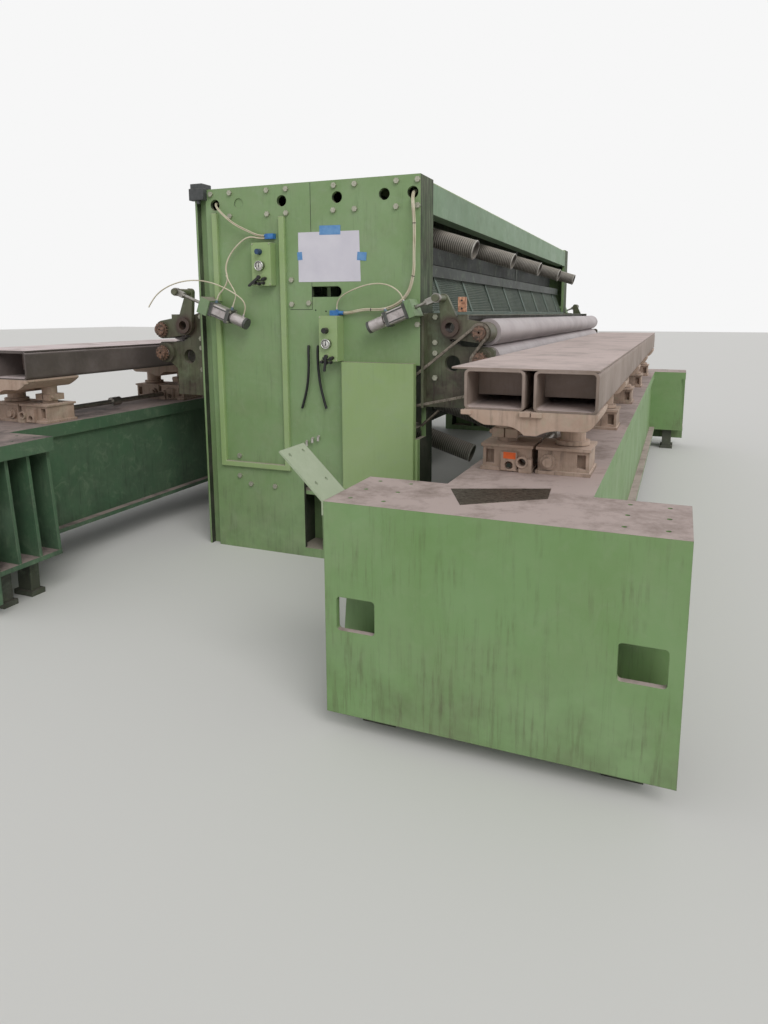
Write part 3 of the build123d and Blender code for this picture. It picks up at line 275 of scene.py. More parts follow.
# Grease thrown from the hollow pivots has baked brown round them, on arms and brackets alike
def stainedHubs(material, hub):
    put = partial(addNode, material.node_tree)
    shader = material.node_tree.nodes["Principled BSDF"]
    painted = shader.inputs["Base Color"].links[0].from_socket
    place = put("ShaderNodeTexCoord").outputs["Object"]
    mirrored = put("ShaderNodeVectorMath", {0: place}, operation="ABSOLUTE")
    flat = put("ShaderNodeVectorMath", {0: mirrored, 1: (1, 0, 1)}, operation="MULTIPLY")
    away = put(
        "ShaderNodeVectorMath", {0: flat, 1: (hub["across"] * mm, 0, hub["height"] * mm)},
        operation="DISTANCE").outputs["Value"]
    ring = put("ShaderNodeMapRange", {
        "Value": away, "From Min": hub["reach"] * mm, "From Max": hub["solid"] * mm})
    blots = put("ShaderNodeTexNoise", {
        "Vector": place, "Scale": 1 / (hub["blot"] * mm), "Detail": 7, "Roughness": 0.7})
    blots = put("ShaderNodeMapRange", {"Value": blots, "From Min": 0.3, "From Max": 0.5, "To Min": 0.45})
    stain = put("ShaderNodeMath", {0: ring, 1: blots}, operation="MULTIPLY")
    colour = put("ShaderNodeMix", {0: stain, 6: painted, 7: hexColour(hub["colour"])}, data_type="RGBA")
    setInputs(shader, {"Base Color": colour})


hubStain = {"across": 958, "height": 1515, "reach": 88, "solid": 52.8, "blot": 20, "colour": "4b3a32"}
stainedHubs(armPaint, hubStain)


# Turned, ground or cast metal: fine lay, darker where oil has held dust
metalSizes = {"toolLine": 3, "worn": 1.2}     # in mm


def machineMetal(name, metal):
    material, put, shader = newMaterial(name)
    place = put("ShaderNodeTexCoord").outputs["Object"]
    lay = put("ShaderNodeMapping", {"Vector": place, "Scale": metal["lay"]})
    lines = put("ShaderNodeTexNoise", {
        "Vector": lay, "Scale": 1 / (metalSizes["toolLine"] * mm), "Detail": 4})
    stain = put("ShaderNodeTexNoise", {
        "Vector": place, "Scale": 1 / (metal["stain"] * mm), "Detail": 7, "Roughness": 0.7,
        "Distortion": 0.5})
    stained = put("ShaderNodeMapRange", {
        "Value": stain, "From Min": 0.42, "From Max": 0.68, "To Max": metal["dirt"]})
    colour = put("ShaderNodeMix", {
        0: stained, 6: hexColour(metal["base"]), 7: hexColour(metal["dirtColour"])}, data_type="RGBA")
    dull = put("ShaderNodeMapRange", {
        "Value": stain, "From Min": 0.3, "From Max": 0.75, "To Min": metal["roughness"],
        "To Max": metal["roughness"] + 0.25})
    rounded = put("ShaderNodeBevel", {"Radius": metalSizes["worn"] * mm}, samples=4)
    bump = put("ShaderNodeBump", {"Height": lines, "Strength": 0.3, "Distance": 0.0004, "Normal": rounded})
    setInputs(shader, {
        "Base Color": colour, "Metallic": metal["metallic"], "Roughness": dull, "Normal": bump})
    return material


# stain is in mm; lay stretches the tool lines, and dirt is the share of it that shows
plainMetal = {
    "base": "a9a6a0", "dirt": 0.5, "dirtColour": "6a6155", "stain": 30, "lay": (1, 1, 1), "metallic": 1,
    "roughness": 0.32}
# turned steel: bright, with fine tool lines and thin brown stains
brightSteel = machineMetal("turnedSteel", plainMetal)
# the same under chain grease: dark brown with wet glints
greasySteel = machineMetal("greasySteel", plainMetal | {
    "base": "6f675d", "dirt": 0.9, "dirtColour": "38322b", "stain": 14, "metallic": 0.8, "roughness": 0.4})
# chain plates rubbed clean over greasy joints, so each link catches light
chainSteel = machineMetal("rollerChainSteel", plainMetal | {
    "base": "8a8176", "dirt": 0.8, "dirtColour": "4d463d", "stain": 18, "metallic": 0.8,
    "roughness": 0.38})
# zinc plate gone yellowish and dull, with a soft glint
zincBolts = machineMetal("zincPlatedSteel", plainMetal | {
    "base": "b9b9a8", "dirt": 0.6, "dirtColour": "7c7a64", "stain": 9, "metallic": 0.7, "roughness": 0.4})
# clear anodised barrel: satin silver-grey, blotched by handling
anodised = machineMetal("anodisedAluminium", plainMetal | {
    "base": "c4bcba", "dirt": 0.55, "dirtColour": "857b78", "stain": 45, "metallic": 0.6,
    "roughness": 0.36})
# cylinder end caps in grey stove enamel on a die casting, semi-matt
endCapMetal = machineMetal("paintedDieCasting", plainMetal | {
    "base": "5b5c58", "dirt": 0.6, "dirtColour": "3a3a36", "stain": 22, "metallic": 0.2,
    "roughness": 0.45})
# chrome bezel: a sharp, clear mirror round each dial
chrome = machineMetal("chromeBezel", plainMetal | {
    "base": "d6d5d2", "dirt": 0.35, "dirtColour": "8f8b84", "stain": 12, "roughness": 0.14})
# ground rubber cover on the feed rollers: pale grey, satin, banded along its length
rollerSleeve = machineMetal("rubberSleeve", plainMetal | {
    "base": "b3a9a8", "dirt": 0.5, "dirtColour": "94898a", "stain": 420, "lay": (1, 0.1, 1), "metallic": 0,
    "roughness": 0.4})


# The sprockets and hubs at a roller's ends are one turning with it, black with chain grease
def greasedEnds(material, ends):
    put = partial(addNode, material.node_tree)
    shader = material.node_tree.nodes["Principled BSDF"]
    sleeve = shader.inputs["Base Color"].links[0].from_socket
    place = put("ShaderNodeTexCoord").outputs["Object"]
    along = put("ShaderNodeSeparateXYZ", {"Vector": place}).outputs["Y"]
    near = put("ShaderNodeMath", {0: along, 1: ends["near"] * mm}, operation="LESS_THAN")
    far = put("ShaderNodeMath", {0: along, 1: ends["far"] * mm}, operation="GREATER_THAN")
    bare = put("ShaderNodeMath", {0: near, 1: far}, operation="MAXIMUM")
    blots = put("ShaderNodeTexNoise", {
        "Vector": place, "Scale": 1 / (ends["blot"] * mm), "Detail": 6, "Roughness": 0.7})
    blots = put("ShaderNodeMapRange", {"Value": blots, "From Min": 0.4, "From Max": 0.62})
    grease = put("ShaderNodeMix", {
        0: blots, 6: hexColour(ends["steel"]), 7: hexColour(ends["grease"])}, data_type="RGBA")
    colour = put("ShaderNodeMix", {0: bare, 6: sleeve, 7: grease}, data_type="RGBA")
    setInputs(shader, {"Base Color": colour})


rollerEnds = {"near": -1935, "far": 3455, "blot": 16, "steel": "8a6a58", "grease": "3a332c"}
greasedEnds(rollerSleeve, rollerEnds)
print("metals ready")


# Moulded plastic, rubber and paper: one colour with a slight mottle, fine grain and dust
def mouldedPlastic(name, plastic):
    material, put, shader = newMaterial(name)
    place = put("ShaderNodeTexCoord").outputs["Object"]
    cloud = put("ShaderNodeTexNoise", {"Vector": place, "Scale": 1 / (plastic["cloud"] * mm), "Detail": 5})
    mottled = put("ShaderNodeMapRange", {"Value": cloud, "From Min": 0.35, "From Max": 0.7})
    colour = put("ShaderNodeMix", {
        0: mottled, 6: hexColour(plastic["base"]), 7: hexColour(plastic["mottle"])}, data_type="RGBA")
    normal = put("ShaderNodeNewGeometry").outputs["Normal"]
    up = put("ShaderNodeSeparateXYZ", {"Vector": normal}).outputs["Z"]
    dust = put("ShaderNodeMapRange", {
        "Value": up, "From Min": 0.2, "From Max": 1, "To Max": plastic["dusty"]})
    colour = put("ShaderNodeMix", {
        0: dust, 6: colour, 7: hexColour(plastic["dustColour"])}, data_type="RGBA")
    grain = put("ShaderNodeTexNoise", {"Vector": place, "Scale": 1 / (plastic["grain"] * mm), "Detail": 2})
    bump = put("ShaderNodeBump", {"Height": grain, "Strength": 0.2, "Distance": 0.0003})
    setInputs(shader, {"Base Color": colour, "Roughness": plastic["roughness"], "Normal": bump})
    return material


# cloud and grain are in mm; dusty is how much of the dust on top faces shows
plainPlastic = {
    "base": "1d1d1d", "mottle": "292827", "cloud": 22, "roughness": 0.45, "grain": 1.5, "dusty": 0.3,
    "dustColour": "9a8f80"}
# moulded ABS: deep black with a faint grain
blackPlastic = mouldedPlastic("blackAbs", plainPlastic)
# neoprene sheath: matt blue-black
leadRubber = mouldedPlastic("neopreneLead", plainPlastic | {
    "base": "141416", "mottle": "1c1c1e", "roughness": 0.5, "dusty": 0.1})
# nylon fitting blocks: saturated blue, waxy sheen
bluePlastic = mouldedPlastic("blueNylon", plainPlastic | {
    "base": "2a62a4", "mottle": "3f83c0", "roughness": 0.32, "dusty": 0.15})
# a faded blue-grey knob
knobPlastic = mouldedPlastic("blueGreyKnob", plainPlastic | {"base": "29476a", "mottle": "1f2c3a"})
# grey push-in fittings, slightly shiny
elbowPlastic = mouldedPlastic("greyPushInFitting", plainPlastic | {
    "base": "6f8593", "mottle": "5a6d78", "roughness": 0.35})
# dark grey connector hood, satin
hoodPlastic = mouldedPlastic("greyConnectorHood", plainPlastic | {
    "base": "4a4c4c", "mottle": "3b3d3d", "roughness": 0.5})
# flexible PVC wall of the hoses: grey-brown and dusty
hosePlastic = mouldedPlastic("pvcSuctionHose", plainPlastic | {
    "base": "6e6962", "mottle": "56524c", "cloud": 90, "roughness": 0.5, "dusty": 0.55})
# the stiffer rib, paler than the wall it carries
ribPlastic = mouldedPlastic("paleHoseRib", plainPlastic | {
    "base": "a09a91", "mottle": "8a847b", "cloud": 60, "roughness": 0.4, "dusty": 0.4})
# smooth pale cuffs and sleeves
cuffPlastic = mouldedPlastic("paleHoseCuff", plainPlastic | {
    "base": "b8b4ac", "mottle": "9a958c", "roughness": 0.4})
# polyurethane air tube: cream, smooth and a little glossy
tubePlastic = mouldedPlastic("polyurethaneTube", plainPlastic | {
    "base": "d4cbb4", "mottle": "bfb398", "cloud": 60, "roughness": 0.3, "dusty": 0.1})
# copier paper: cool white, quite matt
paper = mouldedPlastic("copierPaper", plainPlastic | {
    "base": "dcd8e0", "mottle": "d0ccd6", "cloud": 160, "roughness": 0.8, "grain": 0.8, "dusty": 0})
# crepe masking tape: flat blue with fine wrinkles
blueTape = mouldedPlastic("crepeTape", plainPlastic | {
    "base": "5f8fc2", "mottle": "739fcb", "roughness": 0.7, "grain": 2, "dusty": 0})
# printed dial: smooth white
dialPlastic = mouldedPlastic("whiteDial", plainPlastic | {
    "base": "e4e2dc", "mottle": "dad7cf", "roughness": 0.35, "dusty": 0})
# vinyl label: strong orange, low gloss
orangeLabel = mouldedPlastic("orangeVinyl", plainPlastic | {
    "base": "e8682a", "mottle": "d95f27", "roughness": 0.5, "dusty": 0.1})
# sensor in worn orange paint, mottled with rust
orangeCasting = mouldedPlastic("orangeSensorPaint", plainPlastic | {
    "base": "cf9c7c", "mottle": "7a4c36", "cloud": 16, "roughness": 0.5})
# oil and dust caught in joints, which read as dark lines, and the painted shade inside a bore on the jack
seamShade = mouldedPlastic("oilyJointAndBoreShade", plainPlastic | {
    "base": "222820", "mottle": "2d342b", "roughness": 0.8, "dusty": 0})
print("plastics ready")

finishes = {
    framePaint: ["near_end_frame", "far_end_frame", "upper_crossbeam", "drive_housings", "lower_table"],
    bracketPaint: ["cylinder_brackets"],
    panelPaint: ["cover_box", "control_boxes", "cable_ducts", "top_cover"],
    ductPaint: ["extraction_ducts"],
    fasciaPaint: ["fascias"],
    bedPaint: ["outfeed_bed"],
    shadedBedPaint: ["infeed_bed"],
    jackPaint: ["jack_housings", "outfeed_jack_columns", "infeed_jack_columns"],
    beamPaint: ["outfeed_box_beams"],
    shadedBeamPaint: ["infeed_box_beams"],
    stopPaint: ["stop_bar"],
    footPaintAndShade: ["bed_feet"],
    armPaint: ["roller_brackets", "outfeed_arms", "infeed_arms"],
    guardPaint: ["guards"],
    railPaint: ["hood_rails"],
    brightSteel: ["main_shaft", "needle_beam", "needle_boards", "push_rods", "stripper_plate", "bed_plate",
                  "outfeed_rods", "infeed_rods", "outfeed_line_shaft", "infeed_line_shaft"],
    rollerSleeve: ["outfeed_upper_roller", "infeed_upper_roller", "outfeed_lower_roller",
                   "infeed_lower_roller"],
    zincBolts: ["frame_bolts"],
    anodised: ["air_cylinders"],
    blackPlastic: ["outfeed_knob", "outfeed_valve_lever", "infeed_valve_lever", "outfeed_gauge_pointer",
                   "infeed_gauge_pointer", "pressure_gauges"],
    bluePlastic: ["air_manifolds"],
    knobPlastic: ["infeed_knob"],
    hosePlastic: ["extraction_hoses"],
}
for material, names in finishes.items():
    for name in names:
        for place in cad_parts[name].material_slots:
            place.material = material
print("CAD nodes finished")


# Pieces with more shape than the CAD holds, each made at the origin and riding on one body
def meshPiece(name, bm, materials, body, smooth=False):
    bmesh.ops.recalc_face_normals(bm, faces=bm.faces)
    mesh = bpy.data.meshes.new(name)
    bm.to_mesh(mesh)
    bm.free()
    return placeMesh(name, mesh, materials, body, smooth)


def placeMesh(name, mesh, materials, body, smooth=False):
    piece = linkedObject(name, mesh)
    for material in materials:
        if material.name not in mesh.materials:
            mesh.materials.append(material)
    for polygon in mesh.polygons:
        polygon.use_smooth = smooth
    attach(piece, body)
    return piece


# A block between two corners in mm, turned in degrees about Y, its edges rounded where asked
def addSlab(bm, low, high, slot=0, turn=0.0, edge=0.0):
    centre = [(a + b) / 2 * mm for a, b in zip(low, high)]
    size = [(b - a) * mm for a, b in zip(low, high)]
    made = bmesh.ops.create_cube(bm, size=1.0)["verts"]
    bmesh.ops.scale(bm, vec=size, verts=made)
    if edge:
        edges = list({e for v in made for e in v.link_edges})
        bevelled = bmesh.ops.bevel(bm, geom=edges, offset=edge * mm, segments=2, affect="EDGES",
                                   profile=0.5)
        made = {v for f in bevelled["faces"] for v in f.verts} | {v for v in made if v.is_valid}
    faces = {f for v in made for f in v.link_faces}
    made = list({v for f in faces for v in f.verts})
    bmesh.ops.rotate(bm, verts=made, cent=(0, 0, 0), matrix=Matrix.Rotation(radians(turn), 3, "Y"))
    bmesh.ops.translate(bm, verts=made, vec=centre)
    for face in faces:
        face.material_index = slot


# A closed round bar between two points in mm; few segments make it a hexagon
def addBar(bm, start, end, radius, slot=0, segments=32):
    a, b = Vector(start) * mm, Vector(end) * mm
    along = b - a
    turn = along.to_track_quat("Z", "Y").to_matrix().to_4x4()
    place = Matrix.Translation((a + b) / 2) @ turn
    made = bmesh.ops.create_cone(bm, cap_ends=True, segments=segments, radius1=radius * mm,
                                 radius2=radius * mm, depth=along.length, matrix=place)["verts"]
    for face in {f for v in made for f in v.link_faces}:
        face.material_index = slot


# A ring turned about an axis along Y: profile points are (radius, y) in mm
def addRing(bm, centre, profile, slot=0, segments=64):
    columns = []
    for k in range(segments):
        angle = 2 * pi * k / segments
        columns.append([bm.verts.new(((centre[0] + r * cos(angle)) * mm, y * mm,
                                      (centre[1] + r * sin(angle)) * mm)) for r, y in profile])
    for k in range(segments):
        here, there = columns[k], columns[(k + 1) % segments]
        for j in range(len(profile)):
            n = (j + 1) % len(profile)
            face = bm.faces.new((here[j], here[n], there[n], there[j]))
            face.material_index = slot


# A thin sheet from its two outlines in mm
def sheetMesh(front, back):
    bm = bmesh.new()
    front, back = ([bm.verts.new(Vector(place) * mm) for place in outline] for outline in (front, back))
    bm.faces.new(front)
    bm.faces.new(back[::-1])
    for k in range(len(front)):
        n = (k + 1) % len(front)
        bm.faces.new((front[k], back[k], back[n], front[n]))
    return bm


# The result of a node tree on a small base mesh, as a plain mesh
def grownMesh(name, baseMesh, tree, values):
    holder = linkedObject(name, baseMesh)
    modifier = holder.modifiers.new(name, "NODES")
    modifier.node_group = tree
    for item in tree.interface.items_tree:
        if item.item_type == "SOCKET" and item.in_out == "INPUT" and item.name in values:
            modifier[item.identifier] = values[item.name]
    mesh = bpy.data.meshes.new_from_object(holder.evaluated_get(bpy.context.evaluated_depsgraph_get()))
    holder.modifiers.remove(modifier)
    bpy.data.objects.remove(holder)
    mesh.name = name
    return mesh


def newTree(name, sockets):
    tree = bpy.data.node_groups.new(name, "GeometryNodeTree")
    tree.interface.new_socket("Geometry", in_out="INPUT", socket_type="NodeSocketGeometry")
    for label, kind, value in sockets:
        socket = tree.interface.new_socket(label, in_out="INPUT", socket_type=kind)
        socket.default_value = value
    tree.interface.new_socket("Geometry", in_out="OUTPUT", socket_type="NodeSocketGeometry")
    put = partial(addNode, tree)
    return tree, put, put("NodeGroupInput").outputs


# Every tree ends alike: copies of one shape on points, made real and given their finish
def finishCopies(put, points, shape, turn, finish):
    copies = put("GeometryNodeInstanceOnPoints", {"Points": points, "Instance": shape, "Rotation": turn})
    solid = put("GeometryNodeRealizeInstances", {"Geometry": copies})
    dressed = put("GeometryNodeSetMaterial", {"Geometry": solid, "Material": finish})
    put("NodeGroupOutput", {"Geometry": dressed})


# Control boxes: dial with ticks under a chrome bezel, port fittings below the lever, lid screws
def dialTicks():
    tree, put, given = newTree("dialTicks", [
        ("Radius", "NodeSocketFloat", 21 * mm), ("Count", "NodeSocketInt", 31),
        ("Length", "NodeSocketFloat", 3.4 * mm), ("Width", "NodeSocketFloat", 0.8 * mm),
        ("Sweep", "NodeSocketFloat", radians(270))])
    sweep = put("GeometryNodeCurveArc", {
        "Resolution": given["Count"], "Radius": given["Radius"], "Start Angle": radians(-45),
        "Sweep Angle": given["Sweep"]}, mode="RADIUS")
    marks = put("GeometryNodeCurveToPoints", {"Curve": sweep, "Count": given["Count"]}, mode="COUNT")
    size = put("ShaderNodeCombineXYZ", {"X": given["Length"], "Y": given["Width"], "Z": 0.5 * mm})
    bar = put("GeometryNodeMeshCube", {"Size": size})
    where = put("GeometryNodeInputPosition")
    outwards = put("FunctionNodeAlignRotationToVector", {"Vector": where}, axis="X")
    finishCopies(put, marks, bar, outwards, blackPlastic)
    return tree


# face is the y of a lid; dial, lever and lid middle are (x, z), the lid's half size too
controlBoxes = {
    "outfeed": {"face": -2078, "dial": (213, 1414), "lever": (214, 1338),
                "lid": (219, 1445), "half": (63, 139)},
    "infeed": {"face": -2050, "dial": (-262, 1892), "lever": (-266, 1822),
               "lid": (-258, 1902), "half": (70, 133)},
}
# the bezel's profile is (radius, depth behind the front of the gauge)
dial = {"bezel": ((29.1, 14), (30.5, 12), (30.5, -1), (28, -2.6), (25.6, -0.6), (25.6, 3), (29.1, 3)),
        "front": 26, "floor": 21, "disc": 25.4, "discDepth": (0.05, 0.5), "ticks": 31,
        "tickRadius": 21, "tickRise": 0.6}
ports = {"places": ((-34, -34), (-6, -40), (24, -36), (36, -8)), "nut": 11, "nutHeight": 12, "stub": 7.5,
         "stubEnd": 26, "block": ((-30, -15, -22), (30, skin, -4)), "edge": 3}
lidScrew = {"inset": 9, "radius": 4.5, "height": 3}
tickTree = dialTicks()
for side, box in controlBoxes.items():
    face = box["face"]
    x, z = box["dial"]
    discY = face - dial["floor"]
    bm = bmesh.new()
    addRing(bm, (x, z), [(radius, face - dial["front"] + depth) for radius, depth in dial["bezel"]])
    back, front = [(x, discY - depth, z) for depth in dial["discDepth"]]
    addBar(bm, back, front, dial["disc"], 1, 64)
    meshPiece(side + "DialFace", bm, [chrome, dialPlastic], "frame", True)
    ticks = grownMesh(side + "DialTicks", bpy.data.meshes.new(side + "TickBase"), tickTree,
                      {"Radius": dial["tickRadius"] * mm, "Count": dial["ticks"]})
    ticks.transform(Matrix.Translation((x * mm, (discY - dial["tickRise"]) * mm, z * mm))
                    @ Matrix.Rotation(pi / 2, 4, "X"))
    placeMesh(side + "DialTicks", ticks, [blackPlastic], "frame")

    x, z = box["lever"]
    bm = bmesh.new()
    for dx, dz in ports["places"]:
        foot, neck, tip = [(x + dx, y, z + dz) for y in
                           (face + skin, face - ports["nutHeight"], face - ports["stubEnd"])]
        addBar(bm, foot, neck, ports["nut"], 0, 6)
        addBar(bm, neck, tip, ports["stub"], 0, 24)
    low, high = [Vector((x, face, z)) + Vector(corner) for corner in ports["block"]]
    addSlab(bm, low, high, edge=ports["edge"])
    meshPiece(side + "PortFittings", bm, [blackPlastic], "frame")

    bm = bmesh.new()
    halfX, halfZ = [half - lidScrew["inset"] for half in box["half"]]
    for x in (box["lid"][0] - halfX, box["lid"][0] + halfX):
        for z in (box["lid"][1] - halfZ, box["lid"][1] + halfZ):
            addBar(bm, (x, face + skin, z), (x, face - lidScrew["height"], z), lidScrew["radius"], 0, 16)
    meshPiece(side + "LidScrews", bm, [zincBolts], "frame")
print("controls ready")

# Air cylinders: end plates, tie-rod nuts and port collars. Each axis starts at the rod's pin and
# falls at a slope; distances along it are in mm from where the cylinder begins
airCylinders = {"outfeed": {"pin": (912, 1684), "slope": 22, "reach": 177, "way": -1},
                "infeed": {"pin": (-905, 1738), "slope": 21, "reach": 304, "way": 1}}
cylinder = {"y": -2072, "body": 153, "plate": 89.2, "plateDepth": 24.8, "plates": (12, 141), "edge": 2.5,
            "nut": 7.5, "nutInset": 33, "nutFrom": 12, "nutTo": 19,
            "ports": (14, 141), "collar": (10, 44, 52), "elbow": (8.6, 52, 62),
            "groove": 27, "grooveWidth": 7, "grooveEnds": 50, "grooveDepth": 0.2,
            "tail": 36.2, "tailFrom": 108, "tailTo": 125.4}
for side, one in airCylinders.items():
    lean = radians(one["slope"])
    axis = Vector((one["way"] * cos(lean), 0, -sin(lean)))
    up = Vector((-axis.z * one["way"], 0, axis.x * one["way"]))
    start = Vector((one["pin"][0], cylinder["y"], one["pin"][1])) + axis * one["reach"]
    tilt = one["way"] * one["slope"]
    bm = bmesh.new()
    half = Vector((cylinder["plateDepth"], cylinder["plate"], cylinder["plate"])) / 2
    for run in cylinder["plates"]:
        middle = start + axis * run
        addSlab(bm, middle - half, middle + half, 0, tilt, cylinder["edge"])
        for a in (-cylinder["nutInset"], cylinder["nutInset"]):
            for b in (-cylinder["nutInset"], cylinder["nutInset"]):
                corner = middle + up * a + Vector((0, b, 0))
                for way in (-1, 1):
                    addBar(bm, corner + axis * way * cylinder["nutFrom"],
                           corner + axis * way * cylinder["nutTo"], cylinder["nut"], 1, 6)
    for run in cylinder["ports"]:
        port = start + axis * run
        for part, segments in (("collar", 6), ("elbow", 24)):
            radius, low, high = cylinder[part]
            addBar(bm, port + up * low, port + up * high, radius, 2, segments)
    half = Vector((cylinder["body"] - cylinder["grooveEnds"],
                   cylinder["plate"] - 2 * cylinder["grooveDepth"], cylinder["grooveWidth"])) / 2
    for offset in (-cylinder["groove"], cylinder["groove"]):
        middle = start + axis * (cylinder["body"] / 2) + up * offset
        addSlab(bm, middle - half, middle + half, 0, tilt)
    tail = start + axis * cylinder["body"]
    addBar(bm, tail + axis * cylinder["tailFrom"], tail + axis * cylinder["tailTo"],
           cylinder["tail"], 0, 48)
    meshPiece(side + "CylinderFittings", bm, [endCapMetal, zincBolts, elbowPlastic], "frame")
print("cylinders ready")


# Free tubes: each follows the control points of its CAD route, as one smooth spline
def routeCurve(name, points, radius):
    curve = bpy.data.curves.new(name, "CURVE")
    curve.dimensions = "3D"
    spline = curve.splines.new("NURBS")
    spline.points.add(len(points) - 1)
    for control, place in zip(spline.points, points):
        control.co = (*place, 1)
    spline.order_u = 3
    spline.use_endpoint_u = True
    spline.resolution_u = 8
    curve.bevel_depth = radius
    curve.bevel_resolution = 5
    curve.use_fill_caps = True
    return curve


def centreLine(name, points):
    holder = linkedObject(name + "Line", routeCurve(name + "Line", points, 0))
    mesh = bpy.data.meshes.new_from_object(holder)
    line = [vertex.co.copy() for vertex in mesh.vertices]
    bpy.data.objects.remove(holder)
    bpy.data.meshes.remove(mesh)
    return line


def singleTube(name, tube):
    points = tube["points"]
    piece = linkedObject(name, routeCurve(name, points, tube["diameter"] / 2))
    piece.data.materials.append(tube["finish"])
    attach(piece, "frame")
    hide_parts(tube["node"])


# Frames along a line that turn with it but never spin
def carriedFrames(line):
    frames = []
    side = None
    for i, place in enumerate(line):
        ahead = line[min(i + 1, len(line) - 1)] - line[max(i - 1, 0)]
        ahead.normalize()
        if side is None:
            side = ahead.orthogonal()
        side = (side - ahead * side.dot(ahead)).normalized()
        frames.append((place, side.copy(), ahead.cross(side)))
    return frames


# Strands wound round one another along the route, held by ties at shares of its length
def bundledTubes(name, bundle):
    points, strands, facets = bundle["points"], bundle["strands"], 10
    line = centreLine(name, points)
    frames = carriedFrames(line)
    bm = bmesh.new()
    for strand in range(strands):
        rings = []
        for i, (place, side, across) in enumerate(frames):
            phase = 2 * pi * strand / strands + bundle["winding"] * i / len(frames)
            centre = place + (side * cos(phase) + across * sin(phase)) * bundle["spread"] * mm
            ring = []
            for k in range(facets):
                angle = 2 * pi * k / facets
                ring.append(bm.verts.new(centre + (side * cos(angle) + across * sin(angle))
                                         * bundle["radius"] * mm))
            rings.append(ring)
        for here, there in zip(rings, rings[1:]):
            for k in range(facets):
                n = (k + 1) % facets
                bm.faces.new((here[k], here[n], there[n], there[k]))
        bm.faces.new(rings[0][::-1])
        bm.faces.new(rings[-1])
    piece = meshPiece(name, bm, [tubePlastic], "frame", True)
    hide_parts(bundle["node"])
    for k, share in enumerate(bundle["ties"]):
        place, side, across = frames[int(share * (len(frames) - 1))]
        half = side.cross(across) * bundle["tieWidth"] / 2 * mm
        bm = bmesh.new()
        addBar(bm, (place - half) / mm, (place + half) / mm, bundle["band"], 0, 24)
        meshPiece(f"{name}Tie{k + 1}", bm, [blackPlastic], "frame")


# Lengths and diameters are in m here, as the cords are stated; everything else is in mm
bundles = {
    "infeedSupplyTubes": {
        "node": "infeed_supply_tubes", "length": 0.525, "diameter": 0.016, "strands": 3, "radius": 3.3,
        "spread": 4.3, "winding": 2.4, "band": 8.2, "tieWidth": 4, "ties": [],
        "points": [
            (-.631, -1.920, 2.302), (-.631, -1.965, 2.302), (-.615, -2.005, 2.287),
            (-.586, -2.032, 2.260), (-.548, -2.037, 2.225), (-.492, -2.034, 2.178),
            (-.440, -2.032, 2.146), (-.382, -2.026, 2.119), (-.332, -2.014, 2.096),
            (-.286, -2.007, 2.080), (-.252, -2.007, 2.080)]},
    "outfeedSupplyTubes": {
        "node": "outfeed_supply_tubes", "length": 1.149, "diameter": 0.020, "strands": 4, "radius": 3.5,
        "spread": 6.0, "winding": 4.2, "band": 10.2, "tieWidth": 4, "ties": [0.24, 0.42, 0.82],
        "points": [
            (.735, -1.893, 2.304), (.735, -1.946, 2.304), (.740, -1.995, 2.278), (.750, -2.028, 2.231),
            (.758, -2.032, 2.166), (.763, -2.031, 2.060), (.760, -2.032, 1.950), (.761, -2.030, 1.850),
            (.749, -2.028, 1.790), (.733, -2.026, 1.738), (.709, -2.025, 1.700), (.676, -2.024, 1.668),
            (.628, -2.022, 1.640), (.565, -2.020, 1.622), (.505, -2.018, 1.620), (.446, -2.018, 1.622),
            (.385, -2.016, 1.612), (.330, -2.007, 1.600), (.290, -2.007, 1.600)]},
}
for name, bundle in bundles.items():
    bundledTubes(name, bundle)

